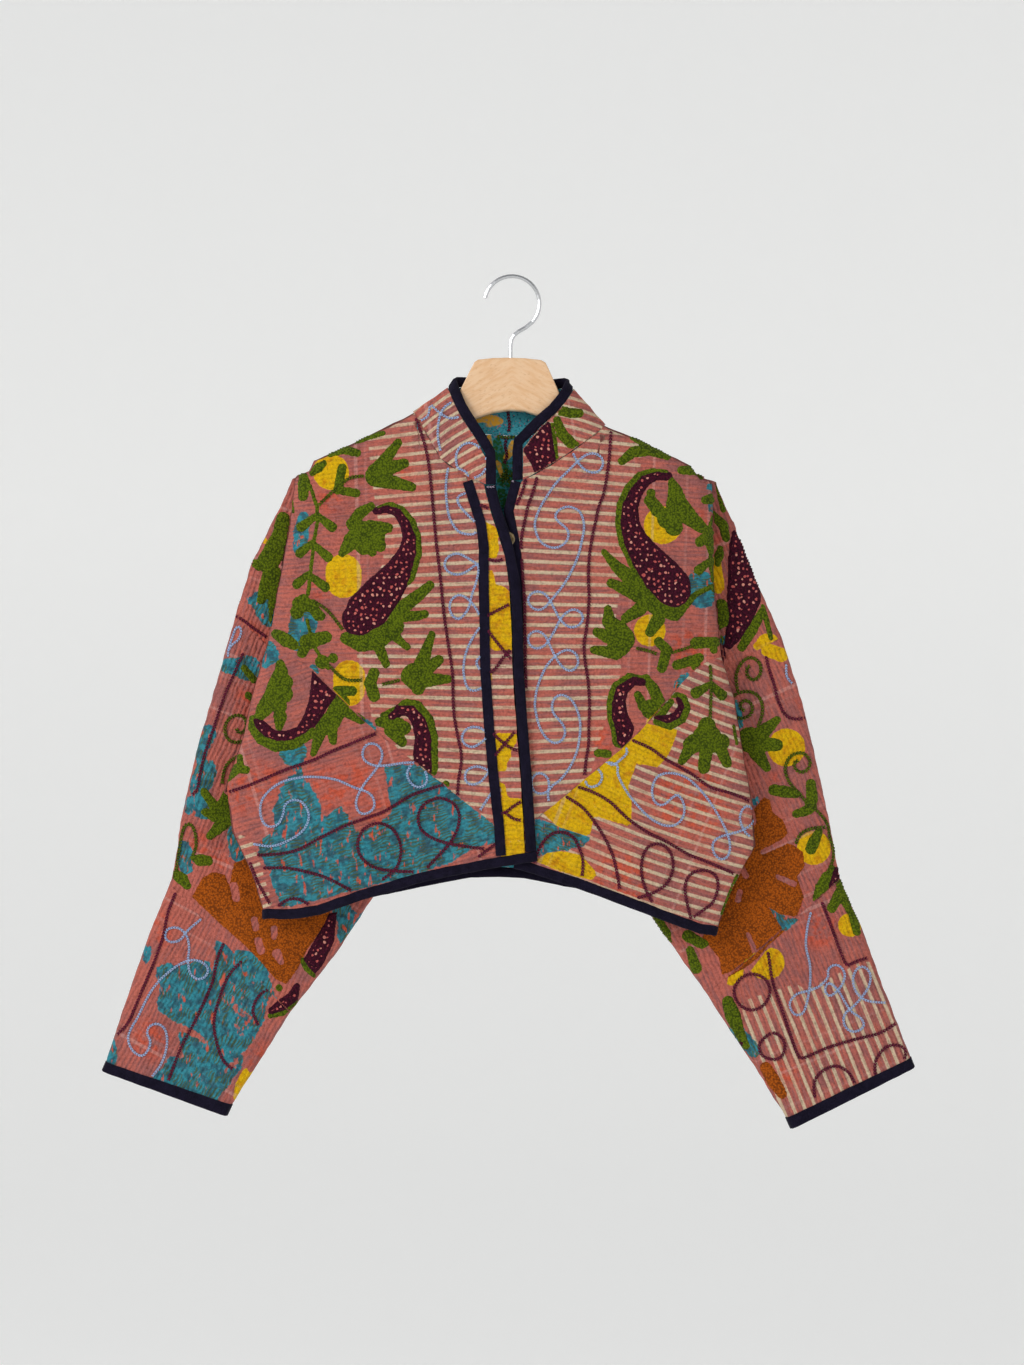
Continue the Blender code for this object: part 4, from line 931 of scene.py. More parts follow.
@dataclass
class Filling:
    """A raised patch of wool rows on a canvas."""

    name: str
    items: tuple
    side: Side
    canvas: Canvas
    material: bpy.types.Material
    height: float = 1.15
    grid: float = 1.25
    bare: tuple = ()
    skirt: float = 1.5
    shoulder: float = 2.2
    lump: float = 0.22
    wobble: float = 0.35
    least: int = 12
    sink: float = 0.75
    lump_waves: float = 0.55
    tear: float = 4.2

    def rise(self, depth: float, across: float, down: float) -> float:
        """How far the wool stands off the cloth, in millimetres, at a depth inside its outline.

        Args:
            depth: millimetres inside the outline.
            across: millimetres across the view.
            down: millimetres down it.
        Returns:
            Millimetres, below 0 where the rim sinks into the cloth.
        """
        if depth <= 0:
            return self.sink * depth
        lump = self.lump * noise.noise(Vector((across * self.lump_waves, down * self.lump_waves, 3.0)))
        return self.height * math.sqrt(min(1.0, depth / self.shoulder)) + lump

    def depth(self, across: np.ndarray, down: np.ndarray) -> np.ndarray:
        """How far points lie inside the patch, whose outline wavers like yarn.

        Args:
            across: millimetres across the view.
            down: millimetres down it.
        Returns:
            Millimetres inside, below 0 outside.
        """
        waver = np.sin(across * 0.9 + 1.3 * np.sin(down * 0.7)) * np.cos(down * 0.8 + np.sin(across * 0.6))
        inside = np.minimum(shape_depth(self.items, across, down), -shape_depth(self.bare, across, down))
        return inside + self.wobble * waver

    def build(self) -> bpy.types.Object | None:
        """Builds the patch, or nothing where the view shows none of it.

        Returns:
            The piece, or nothing.
        """
        if not self.items:
            return None
        points = np.array([(p[0], p[1]) for item in self.items for p in item])
        reach = max((p[2] for item in self.items for p in item if len(p) > 2), default=0.0) + 2
        low, high = points.min(0) - reach, points.max(0) + reach
        columns = int((high[0] - low[0]) / self.grid) + 2
        rows = int((high[1] - low[1]) / self.grid) + 2
        across = low[0] + self.grid * np.arange(columns)[None, :] + np.zeros((rows, 1))
        down = low[1] + self.grid * np.arange(rows)[:, None] + np.zeros((1, columns))
        depth = self.depth(across, down)
        number = np.full(depth.shape, -1)
        out, inset = [], []
        for spot in zip(*np.nonzero(depth > -self.skirt)):
            found = self.canvas.place(across[spot], down[spot], self.side)
            if found is None:
                continue
            number[spot] = len(out)
            inset.append(float(depth[spot]))
            out.append(found[0] + found[1] * (self.rise(inset[-1], across[spot], down[spot]) * MM))
        if len(out) < self.least:
            return None
        corners = [number[:-1, :-1], number[1:, :-1], number[1:, 1:], number[:-1, 1:]]
        cells = np.stack(corners, -1).reshape(-1, 4)
        cells = cells[(cells >= 0).all(1)]
        places = np.array([tuple(p) for p in out])
        spread = np.linalg.norm(places[cells] - places[np.roll(cells, 1, axis=1)], axis=2).max(1)
        cells = cells[spread < self.tear * self.grid * MM]
        if not len(cells):
            return None
        used = np.unique(cells)
        fresh = np.full(len(places), -1)
        fresh[used] = np.arange(len(used))
        cells = fresh[cells] if self.side is Side.FRONT else fresh[cells][:, ::-1]
        obj = thread_piece(self.name, places[used], cells, self.material, np.array(inset)[used])
        LOG.info("%s: %d faces", obj.name, len(cells))
        return obj


@dataclass
class ChainLines:
    """Chain-stitched lines: each stitch is two short strands that lean together."""

    name: str
    lines: tuple
    side: Side
    canvas: Canvas
    material: bpy.types.Material
    width: float
    pitch: float = 3.1
    lift: float = 0.28
    apart: float = 0.24
    lean: float = 0.42
    half: tuple[float, float, float] = (0.66, 0.27, 0.3)
    jump: float = 2.4

    def strand(self) -> tuple[np.ndarray, np.ndarray]:
        """The small smooth body that every strand repeats.

        Returns:
            Its points, and rows of point numbers for its faces.
        """
        bm = bmesh.new()
        bmesh.ops.create_icosphere(bm, subdivisions=1, radius=1.0)
        points = np.array([tuple(v.co) for v in bm.verts])
        faces = np.array([[v.index for v in f.verts] for f in bm.faces])
        bm.free()
        return points, faces

    def build(self) -> bpy.types.Object | None:
        """Builds all the lines as one piece.

        Returns:
            The piece, or nothing where no line meets the cloth.
        """
        points, faces = self.strand()
        furthest = self.jump * self.pitch * MM
        out = []
        for line in self.lines:
            path = curve(line, self.pitch)
            found = [self.canvas.place(a, d, self.side) for a, d in path]
            for here, there in zip(found, found[1:]):
                if here is None or there is None or (there[0] - here[0]).length > furthest:
                    continue
                out.extend(self.stitch(points, here, there))
        if not out:
            return None
        every = np.concatenate(out)
        cells = np.concatenate([faces + index * len(points) for index in range(len(out))])
        obj = thread_piece(self.name, every, cells, self.material, np.zeros(len(every)))
        LOG.info("%s: %d stitches", obj.name, len(out) // 2)
        return obj

    def stitch(self, points: np.ndarray, here: tuple, there: tuple) -> list[np.ndarray]:
        """Two strands between neighbouring places of a line.

        Args:
            points: a strand's own points.
            here: where it starts and which way the cloth faces.
            there: the same for its end.
        Returns:
            The points of each strand, in metres.
        """
        ahead = (there[0] - here[0]).normalized()
        up = (here[1] + there[1]).normalized()
        beside = up.cross(ahead).normalized()
        middle = (here[0] + there[0]) / 2 + up * (self.lift * self.width * MM)
        long, wide, high = self.half
        strands = []
        for hand in (-1, 1):
            lean = (ahead + beside * (self.lean * hand)).normalized()
            flank = up.cross(lean).normalized()
            axes = [lean * (long * self.pitch), flank * (wide * self.width), up * (high * self.width)]
            basis = np.array(axes) * MM
            offset = middle + beside * (self.apart * hand * self.width * MM)
            strands.append(points @ basis + np.array(offset))
        return strands


@dataclass
class ClothShell:
    """A cloth piece: a fine copy of its solid, with soft creases and the numbers that its finish reads."""

    node: str
    finishes: Finishes
    flat: tuple[float, float]
    area: float
    front: Layout = Layout()
    back: Layout = Layout()
    creases: tuple[Crease, ...] = ()
    lined: Lining = Lining.NOWHERE
    neck: tuple[float, float] = (-3.0, 0.0)
    calm: tuple[float, float] = NO_CALM
    bound: bool = False
    grid: float = 4.2
    rim_angle: float = 38.0
    sharp_angle: float = 48.0
    smoothings: int = 5
    same_place: float = 2e-5
    flat_angle: float = 30.0
    square_angle: float = 45.0
    long_edge: float = 1.45
    most_cuts: int = 4
    wrinkle: float = 0.5
    bound_wrinkle: float = 0.28
    wrinkle_waves: tuple[float, float] = (38.0, 85.0)
    pucker_waves: float = 105.0
    swell: tuple[float, float] = (0.2, 0.8)
    bound_swell: tuple[float, float] = (0.28, 0.35)
    paint_reach: float = 60.0

    def refined(self) -> bmesh.types.BMesh:
        """The solid's mesh, cut into small even faces and rounded between its rims.

        Returns:
            The new mesh.
        """
        bm = bmesh.new()
        bm.from_mesh(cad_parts[self.node].data)
        bmesh.ops.remove_doubles(bm, verts=bm.verts, dist=self.same_place)
        bmesh.ops.join_triangles(bm, faces=bm.faces, angle_face_threshold=math.radians(self.flat_angle),
                                 angle_shape_threshold=math.radians(self.square_angle), cmp_seam=False,
                                 cmp_sharp=False)
        for _ in range(self.most_cuts):
            long = [e for e in bm.edges if e.calc_length() > self.long_edge * self.grid * MM]
            if not long:
                break
            bmesh.ops.subdivide_edges(bm, edges=long, cuts=1, use_grid_fill=True)
        bmesh.ops.recalc_face_normals(bm, faces=bm.faces)
        rim, sharp = math.radians(self.rim_angle), math.radians(self.sharp_angle)
        rims = {v for e in bm.edges if e.is_manifold and e.calc_face_angle(0.0) > rim for v in e.verts}
        free = [v for v in bm.verts if v not in rims]
        for _ in range(self.smoothings):
            bmesh.ops.smooth_vert(bm, verts=free, factor=0.5, use_axis_x=True, use_axis_y=True,
                                  use_axis_z=True)
        for edge in bm.edges:
            edge.smooth = not (edge.is_manifold and edge.calc_face_angle(0.0) > sharp)
        return bm

    def relief(self, points: np.ndarray) -> np.ndarray:
        """How far each point moves towards the front, in millimetres.

        Args:
            points: rows of x, y and z in metres.
        Returns:
            One rise for each point.
        """
        across, down = to_view(points, Side.FRONT)
        rise = sum((c.relief(across, down) for c in self.creases), np.zeros(len(points)))
        if self.calm != NO_CALM:
            low, high = self.calm
            rise *= np.clip(1 - (points[:, 1] / MM - low) / (high - low), 0, 1)
        broad, fine = self.wrinkle_waves
        small = np.array([noise.noise(Vector(p) * broad) + 0.5 * noise.noise(Vector(p) * fine)
                          for p in points])
        return rise + (self.bound_wrinkle if self.bound else self.wrinkle) * small

    def paint(self, mesh: bpy.types.Mesh, points: np.ndarray, normals: np.ndarray) -> None:
        """Stores what the finish reads at each vertex.

        Args:
            mesh: the finished mesh.
            points: its vertices in metres.
            normals: the vertices' directions.
        """
        rows, stripe, paint = (np.zeros((len(points), 3)) for _ in range(3))
        for side, shown in ((Side.FRONT, self.front), (Side.BACK, self.back)):
            sees = normals[:, 1] <= 0 if side is Side.FRONT else normals[:, 1] > 0
            across, down = (v[sees] for v in to_view(points, side))
            over, along = shown.weave.rows(across, down)
            rows[sees] = np.stack([over, along, along], 1)
            region = shown.weave.region
            inside = shape_depth(region, across, down) if region else np.full(len(over), NO_STRIPES)
            stripe[sees] = np.stack([over, inside, np.zeros(len(over))], 1)
            yellow, teal, warm, bare = (shape_depth(items, across, down)
                                        for items in (shown.yellow, shown.teal, shown.warm, shown.bare))
            paint[sees] = np.stack([yellow, np.minimum(teal, -bare), warm], 1)
        add_numbers(mesh, "rows", rows)
        add_numbers(mesh, "stripe", stripe)
        add_numbers(mesh, "paint", np.clip(paint, -self.paint_reach, self.paint_reach))

    def shows_inside(self, face: bmesh.types.BMFace) -> bool:
        """Whether a face is on the lined side of the piece.

        Args:
            face: the face.
        Returns:
            True where the lining shows.
        """
        if self.lined is Lining.ROUND_NECK:
            middle = face.calc_center_median()
            towards = Vector((self.neck[0] * MM - middle.x, self.neck[1] * MM - middle.y, 0.0))
            return face.normal.dot(towards) > 0.001 or face.normal.z < -0.7
        lined_way = {Lining.BEHIND: 1, Lining.BEFORE: -1}.get(self.lined, 0)
        return face.normal.y * lined_way > 0.25

    def build(self) -> bpy.types.Object:
        """Builds the piece in place of its solid.

        Returns:
            The cloth piece.
        """
        bm = self.refined()
        bm.normal_update()
        points = np.array([tuple(v.co) for v in bm.verts])
        normals = np.array([tuple(v.normal) for v in bm.verts])
        points[:, 1] -= self.relief(points) * MM
        puckers = np.array([noise.noise(Vector(p) * self.pucker_waves) for p in points])
        least, more = self.bound_swell if self.bound else self.swell
        points += normals * ((least + more * puckers) * MM)[:, None]
        for vert, place in zip(bm.verts, points):
            vert.co = place
        for face in bm.faces:
            face.smooth = True
            face.material_index = int(self.shows_inside(face))
        mesh = bpy.data.meshes.new(self.node + "_cloth")
        bm.to_mesh(mesh)
        bm.free()
        mesh.materials.append(self.finishes.navy if self.bound else self.finishes.cotton)
        if self.lined is not Lining.NOWHERE:
            mesh.materials.append(self.finishes.inside)
        if not self.bound:
            self.paint(mesh, points, normals)
        obj = linked(self.node + "_cloth", mesh)
        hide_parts(self.node)
        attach(obj, "root")
        LOG.info("%s: %d faces, half its surface %.4f m2", obj.name, len(mesh.polygons),
                 sum(p.area for p in mesh.polygons) / 2)
        extras = self.embroider(obj)
        return obj

    def embroider(self, obj: bpy.types.Object) -> list[bpy.types.Object]:
        """Lays the wool on the finished cloth, and returns the pieces.

        Args:
            obj: the cloth piece.
        Returns:
            The pieces of wool and yarn.
        """
        canvas = Canvas(obj)
        look = self.finishes
        made = []
        for side, shown in ((Side.FRONT, self.front), (Side.BACK, self.back)):
            end = f"{self.node}_{side.value}"
            for colour, items, wool, *sizes in (
                    ("green", shown.green, look.green), ("maroon", shown.maroon, look.maroon, 1.35),
                    ("ochre", shown.ochre, look.ochre, 1.3, 1.5, shown.bare)):
                made.append(Filling(f"wool_{colour}_{end}", items, side, canvas, wool, *sizes).build())
            for colour, lines, yarn, *sizes in (
                    ("maroon", shown.maroon_lines, look.cord, 3.1),
                    ("sky", shown.sky_lines, look.sky, 2.3, 2.7),
                    ("green", shown.green_lines, look.green, 3.4),
                    ("pale", shown.pale_lines, look.tack, 1.6, 2.6)):
                made.append(ChainLines(f"chain_{colour}_{end}", lines, side, canvas, yarn, *sizes).build())
        return [piece for piece in made if piece is not None]


# Leaves and paisley at the right hip, which the slanting seam crosses, so that two pieces show them.
HIP_GREEN = """280 664 4.5,281 672 7,277 684 9,273 698 10,264 709 8,259 717 5;285 682 8;284 694 9;
    279 706 8;280 717 7,279 727 4;252 718 3,253 728 5,262 738 7,276 745 7,292 742 8,306 732 9;340 701 8,
    333 716 8,322 728 7,317 742 5,313 754 3;331 722 7,333 741 4;342 703 8,335 724 5;346 712 5,361 720 4.5;
    228 779 3,238 768 5,246 770 4;240 757 3,240 765 4"""
HIP_MAROON = """312 671,339 697,327 708,318 724,306 735,292 742,278 743,264 738,254 728,252 719,258 716,
    265 722,274 730,286 731,297 727,304 715,309 700"""

RIGHT_UPPER = layout(
    Weave(440, 600, -1.5, 0.0, -0.0006, shapes("""362 380,372 480,384 560,352 640,368 690,372 720,500 860,
    500 380""")),
    yellow="331 472 18;343.5 572 18,343.5 580 18;349 676 16,349 690 16",
    teal="""303 518 6,301 530 8,300 548 7;303 624 14,298 640 12;268 648 7,272 656 8,265 663 5;312 672 7;
    362 722 5,372 730 4;296 734 9,292 750 8""",
    warm="300 700 24,280 760 30;330 500 14;320 590 12;360 640 14;400 470 12",
    green=("""383 433 2.5,356 441 3;330 453 4,343 449 5,357 453 4;376 476 11;376 472 8,398 442.5 4;
    376 472 9,404 463.5 5;376 478 9,412 487 4.5;338 490 4.5,342 468 4.5;338 490 4,356 493 4.5;312 473 3,
    318 468 5,324 463 3;303 474 4,304 484 6.5,303 496 5;292 480 1.6,291 496 1.8,293 512 1.6;310 486 1.8,
    317 507 1.8,317 524 1.8,314 541 1.8,311 567 1.8,308 594 1.8;317 515 3,301 527 5;317 515 3,332 527 5;
    312 543 3,300 553 5;312 543 3,328 557 5;308 574 3,297 584 5;308 574 3,325 587 5;305 601 3,321 616 4.5;
    352 524 6,360 513 6,371 506 4;303 600 6,297 612 7;300 604 8,312 606 6,318 616 5;342 553 4,352 541 9,
    362 532 11,370 527 7,384 528 6;364 546 9;376 540 11,380 546 6;356 524 4.5,362 530 8;388 528 5;
    372 552 4.5;379 509 3.5,390 506 4.5,401 511 5,410 523 6,414 538 7.5,412 553 10,402 572 14.5;346 639 4,
    390 630 8,404 606 7,419 595 6,430 585 4.5;404 616 6,416 616 5,425 614 4;346 638 6,361 644 8,378 640 9,
    396 627 8;378 645 6,386 664 4;392 634 5,407 647 3.5;414.7 677 14,418 688 7;420 668 8,432 634 3.5;
    422 672 8,439 660 5;424 680 8,449 679 4;370 683 6,374 673 5.5;370 683 6,374 696 6;337 691 5,352 691 5;
    276 634 5,286 640 7,294 645 5;307 620 1.8,313 645 1.8,328 668 1.8;307 642 8,326 637 6;307 642 6,
    302 653 5;322 662 7;333 658 5;396 712 5,406 705 6,416 707 7,426 721 8,429 738 9,428 753 10,428 768 10;
    380 722 5,392 722 8,404 728 7;392 730 8,402 742 5;384 716 4,394 712 5,404 708 4;446 784 3.5;"""
        + HIP_GREEN
        + ";262 560 8,270 530 7;268 590 5"),
    maroon=("""376 511 3.5,387 508 4.5,398 512 5,406 524 6,410 538 7.5,408 553 10,398 573 14.5,383 592 19,
    367 611 21,360 619 18;392 716 5.5,400 710 6,411 710 6.5,420 722 8,424 738 9,423 753 10,424 768 10;"""
        + HIP_MAROON),
    maroon_lines="""416 418,428 460,436 541,439 565,442 595,444.5 619,447 637,450 655,452.5 675,453 695,
    454 715,457.5 735,461 752,461 765,458.5 780,457.5 797""",
    sky_lines="""449 465,446.5 477,446 493,447.5 509,451 521,458 531,466 534,474 534,477 530;466 493,
    459 496,457.5 501,461 507.5,468 515,475 522;479 565,466 557,457 553.5,448 557,444.5 564.5,448 571.5,
    457 574.5,466 572,477 564.5,478.5 571,476 583,472 595,469 607,464 615,458 619,452 615,449.5 607,
    452 599,459 595,466 597.5,472 603,477 610,480 617;480 627,472 639,467 650,464.5 659,463.5 671,
    465.5 683,469.5 689.5,475.5 690.5,483 687;481 656,477 660,477 665,481 671;487 733,480.5 728,472.5 727,
    465.5 730,462 737,464.5 744,472.5 747,480.5 743,487 737;491 772,483.5 768,475.5 766.5,467.5 770,
    465 776,466.5 782,472.5 784.5,480.5 782,486.5 775,490 770;492 792,485.5 802,479.5 811""",
    green_lines="364 476,346 480,317 507;312 600,328 611,343 630;400 680,380 685;328 664,344 679,363 680",
)

RIGHT_LOWER = layout(
    Weave(350, 830, -17, 0.0, 0.0002, shapes("238 834,252 840,262 870,273 907,262 914,244 880")),
    teal="""268 648 7,272 656 8,265 663 5;284 782,296 772,308 782,318 798,324 818,332 812,340 806,352 820,
    356 832,372 828,392 812,388 790,384 768,400 764,420 766,432 776,446 784,462 798,478 812,497 827,
    497 842,470 850,452 862,420 874,380 884,340 894,310 902,282 908,274 890,268 872,258 850,262 838,
    276 830,272 812;293 752 14;298 768 5""",
    warm="""240 790 24,262 782 20;330 790 24,360 780 20;380 812 16;440 812 14;420 842 10;470 820 12;
    300 762 14""",
    green=(HIP_GREEN
        + ";352 700 5,362 716 5"),
    maroon=HIP_MAROON,
    maroon_lines="""226 793,250 785,280 772,313 760,340 748,380 732;257 855,277 854,297 850,320 838,
    340 828,363 819,383 812,400 802,417 793,446 784;263 868,287 868,307 872,327 878,352 891;382 880,
    397 867,401 850,398 837,390 827,377 823,365 828,358 840,359 853,367 863,380 869,397 871,415 872;
    427 868,437 857,450 843,458 827,459 813,453 803,440 798,427 802,419 812,419 825,427 835,443 842,
    463 846,485 849;278 906,287 900,298 899,310 905;250 862,258 882,270 904;478 857,497 843""",
    sky_lines="""253 844,273 846,293 838,305 828,309 815,303 803,293 800,285 805,283 815,277 825,267 826,
    261 817,261 803,267 793,280 783,297 778,317 777,337 780,353 787,367 792,373 798,374 807,368 813,
    360 813,356 805,358 795,365 783,373 773,380 763,382 753,377 745,368 744,363 750,363 758,368 763,
    377 766,390 765,403 763,415 763,423 768,427 777,425 785,417 787,410 782,407 773,410 767,413 763""",
)

LEFT_UPPER = layout(
    Weave(590, 600, 1.5, 0.0, 0.0005, shapes("""500 380,650 380,641 463,628 540,612 640,622 670,606 720,
    560 880,500 880""")),
    yellow="662.8 525 19;650 630.5 16;659 713 6;655 722 9",
    teal="700 587 16,702 596 13;711 487 4.5;714 507 6,728 514 6;686 676 4,677 686 4;735 540 5,737 552 5",
    warm="690 650 24;600 740 16;700 520 12;652 560 10",
    green="""671 479 3,675 490 7,677 504 11,687 515 9,701 527 6;668 518 11;674 527 9;658 510 7,650 500 6;
    651 493 4.5;665 474 4.5,652 473 5,641 478 6.5,631 490 7.5,625.5 506 9,625.5 523 10.5,631 540 13,
    644 558 17,658 575 20,668 587 19;622 461 4,633 452 5.5,649 449.5 6,668 456.5 3.5;632 437 2.5,
    643 443 4,650 448 4;681 470 4,691 470 5,699 473 2.5;705 500 4,711 499 5.5,717 497 4;716 507 1.8,
    710 526 1.8,712 542 1.8,710 560 1.8,713 581 1.8;722 500 3.5,726 512 5,728 523 3;707 529 3,709 540 4.5,
    711 552 3;712 530 3,700 542 5;712 530 3,726 540 5;711 560 3,699 570 5;711 560 3,726 570 5;713 588 3,
    726 598 5;604 552 3,616 566 5.5,629 577 8,642 594 10,657 605 10,675 614 7,688 602 4,696 594 3,
    713 586 2.5;611 583 4.5,623 588 6;623 588 6,640 598 6;626 618 5,640 609 7;650 632 5,658 620 7;
    608 609 4,609 622 7,618 630 10,623 639 12;597 632 4.5,607 636 7,619 640 9;594 650 4,616 653 7;
    619 645 12;659 642 5,667 650 5.5,662 668 5;696 643 6,716 642 5;699 658 5,677 665 5;696 666 5;
    714 650 4;640 679.5 4.5,630 678 5,618 688 7,614 702 7.5,616 716 9,621 730 10,620 740 8;646 678 4,
    654 690 6,659 701 6,666 713 4;651 709 10;638 695 4,643 706 5;598 753 4,608 754 4;681 701 3,
    681 711 4.5,674 721 5,664 723 5,656 719 3;681 688 4.5;690 690 6,704 676 5;706 694 5,712 682 4""",
    maroon="""668 476 4.5,656 475 5,644.5 480 6.5,635 492 7.5,629 507 9,629 524 10.5,635 541 13,
    647 559 17,661 576 20,671 587 20,674 592 17;643 681.5 4.5,633 680 5,621 690 7,618 703 7.5,619 716 9,
    624 729 10,623 740 8;679 700 2.5,679 710 4,672 719 4.5,662 720 4.5,654 716 2.5""",
    maroon_lines="""611 425,609 460,604 492,599 506,595 524,591 544,589 560,588.5 580,589 600,587 625,
    584 645,585 661,588 681,589.5 705,589 725,588.5 745,586 761,584.5 778;537 477,533 492,528 506,525 520,
    522 534,521 548,522 562,523 580,524.5 600,525 630,525.5 665,526 690;526 479,521.5 494,516 505""",
    sky_lines="""573 453,577 461,584 469,592 472.5,599 471,603 464,601 457,594 453.5,586 455,577 462,
    567 472,557 482,547 496,539 510,535 522,536 532,540 541,548 546.5,557 547.5,565 543,568.5 536,567 529,
    560 523,555.5 518,557 512,564 507.5,571 507,579 511,583 519,584 528,582 540,578 556,571 572,562 587,
    550.5 601,545 607,539 610,532 607.5,528 601,530 595,537 591.5,545 594,550.5 601,555 610,560 619,
    567 626,574 627,580 624,583 618,580 612,573 609.5,566 613,560 620,555 630,548 641.5,544 646,537 648.5,
    531 646,528 640,530 634,537 631,544 634.5,548 641,551 648,555 656,560 664,566 669.5,572 670.5,577 666,
    578 660,575 653,568 650,561 652,555 656.5,548 664,542 675,537 689,535 703,536 713,539 725,544 735,
    550 741,556 743,562 740,565 734,564 727,560 721,554 714,552 707,554 699,560 695,567 696.5,573 702,
    577 710,580 721,580 733,578 747,574 759,568 770,560 780,553 785,549 790,543 793.5,536 792.5,532 787,
    532 779,537 773.5,543 774,548 779,549 786,548 795,549 802""",
    green_lines="636 648,649 651,659 655;671 653,687 648,699 643",
)

LEFT_LOWER = layout(
    Weave(650, 800, 21, 0.00045, 0.0002, shapes("500 700,760 600,800 960,480 960")),
    yellow="""541.5 812.5,644 723,679 729.6,668 756,657.5 767.7,637 763,628 787,632 803,631 827,594.5 816,
    589.6 837,558 827;535 861,547 853,562 851,581 855,597 873,595 881,578 877,556 870""",
    teal="531 818,548 822,570 829,591 836,586 845,570 850,556 852,541 857,531 856",
    warm="690 800 40;620 880 30",
    green="""711 684 3,696 693 5.5;711 684 3,722 695 5.5;707 726 9;707 739 15;692 745 9;722 742 8;
    694 742 8,682 761 4;707 745 7,704 768 6;718 742 7,727 763 5;734 726 1.6,737 744 1.6;737 876 1.8,
    730 893 1.8,722 914 1.8;671 694 3,684 697 3,687 708 4,682 719 4.5,670 726 4,656 722 3;652 712 6,
    662 710 6,670 702 4""",
    maroon="678 698 2.5,682 706 3.5,677 716 4.5,667 720 4.5,657 717 3",
    maroon_lines="""632 740,650 748,667 760,690 773,710 787,730 793,747 800,758 810;575 786,593 792,
    610 802,627 818,647 832,667 842,690 855,710 863,735 874;563 795,583 808,600 830,612 853,617 873,
    620 891;637 898,653 893,667 883,673 867,670 852,660 844,648 847,642 860,642 877,647 893,653 903;
    691 919,687 903,685 887,690 875,703 870,715 875,718 887,713 902,703 910,692 918;534 863,540 847,
    550 835,562 832,573 837,580 850,583 863,582 878""",
    sky_lines="""625 745,627 753,620 760,613 765,605 762,598 765;585 778,587 785,593 787,600 783,602 775,
    597 768;605 762,617 765,618 775,627 792,637 805,650 818,663 825,675 825,683 817,684 805,678 795,
    672 798,663 805,655 802,652 790,657 777,670 773,687 778,703 793,717 813,727 833,730 847,727 857,
    720 859,714 853,713 843,720 837,730 834,743 830,752 823,753 813,748 806,742 810,740 820,745 832,
    752 838""",
    green_lines="710 665,711 684,710 720",
)

BAND = layout(
    Weave(505, 620, 0.0, 0.0, 0.0, shapes("470 470,530 470,535 860,470 860")),
    yellow="""484 521,496 527,500 533,500 537,497 540,499.5 547,496.5 558,486 559;488.5 568,494 572,
    495 584,508 588,513 600,513 650,489 651;491 672 1.5,492.5 681 2;495 733,517 733,517 742,511 751,
    511 757,507.5 762,506.5 771,494 772;499 776 1,500.5 786 1.5;503 786 2.5,504 796 3;498 798,522 798,
    528 828,530 862,498 862""",
    maroon_lines="""480 505,486 507,493 512;488 559,495 561,501 560,507 556;487 616,498 610,512 603;
    488 630,496 641,505 652,513 661;490 673,497 667,503 658,512 648;493 733,501 741,511 748,520 751;
    495 756,502 747,512 735,516 730;500 814,506 812,514 806,524 800;505 812,512 818,519 820,527 820""",
)

COLLAR = layout(
    Weave(512, 430, -10, -0.0036, 0.0, shapes("400 360,640 360,640 520,400 520")),
    yellow="477 420 3,484 418 4,492 419 4.5,500 421 3.5,488 425 2.5",
    green="""562 411 5,571 413 5,579 413 4.5;557 420 4,562 434 5.5,571 443 5.5,580 448 3.5;552 424 1.6,
    555 440 2,557.5 462 1.6""",
    maroon="546 419,551 424,553 440,557 464,536 476,530 462,522 449,530 436",
    warm="430 400 10;576 462 8;440 470 8",
    maroon_lines="508.5 404,508 414,509.5 424,508 434",
    sky_lines="""459 417,449 418,440 413,431 405;430 406,428 416,420 421;454 401,444 408,439 420,438 437,
    441 452;472 484,466 472,458 468,456 458,458 450,464 444,472 443,480 448,485 456,486 466,482 474,
    474 478""",
)

NECK_INSIDE = layout(
    yellow="489 436 2.5,490 445 3;513 442 2.5,510 452 4,506 458 3;498 462 2.5,502 476 2",
    teal="497 440 4,498 452 6,502 466 7;506 478 10;502 494 6,505 505 5;514 462 3",
    maroon_lines="507 437,505 446,507 456,504 464",
    green_lines="""497 436,505 437.5,516 437;506 478,499 473;506 478,514 473;506 478,506 468;506 478,
    499 484;506 478,513 485""",
)

SLEEVE_RIGHT_UPPER = layout(
    Weave(250, 620, -70),
    teal="252 600 5,260 598 8,264 610 10,268 619 8;228 668 7,248 670 12;160 560 14;330 600 18,340 618 14",
    yellow=(shapes("265 541 3.5;190 560 14;320 560 12")
        + shapes("352 560 17;400 640 15;330 660 12")),
    warm="245 634 14,262 646 12;190 620 16",
    green=(shapes("""283 519 7,281 535 9,275 550 11,268 562 11,260 565 6,254 563 4;272 575 10,265 590 7,
    261 600 4.5;277 580 8,275 600 7,273 620 4.5;290 540 5,288 570 6;247 670 4,252 678 4;246 696 3;
    150 560 8,180 600 16,205 640 12;180 600 8,160 640 6;205 640 6,230 600 5;330 620 12,345 660 10;
    330 640 6,310 664 5""")
        + moved(RIGHT_UPPER.green[30:45], 392, 650, 10)
        + moved(RIGHT_UPPER.green[:9], 330, 520, -60)),
    maroon=(shapes("291 530 3,288 548 5,286 570 5,284 582 3")
        + moved(RIGHT_UPPER.maroon[:1], 372, 590, 20)),
    maroon_lines="236 616,244 621,253 628,262 634,269 639;243 653,232 678,223 700",
    sky_lines="229 656,229.5 644,230 634,236 629,241 634,241 642,236 646,230 642",
    green_lines="205 640,220 680,214 720;330 700,318 740,322 790",
)

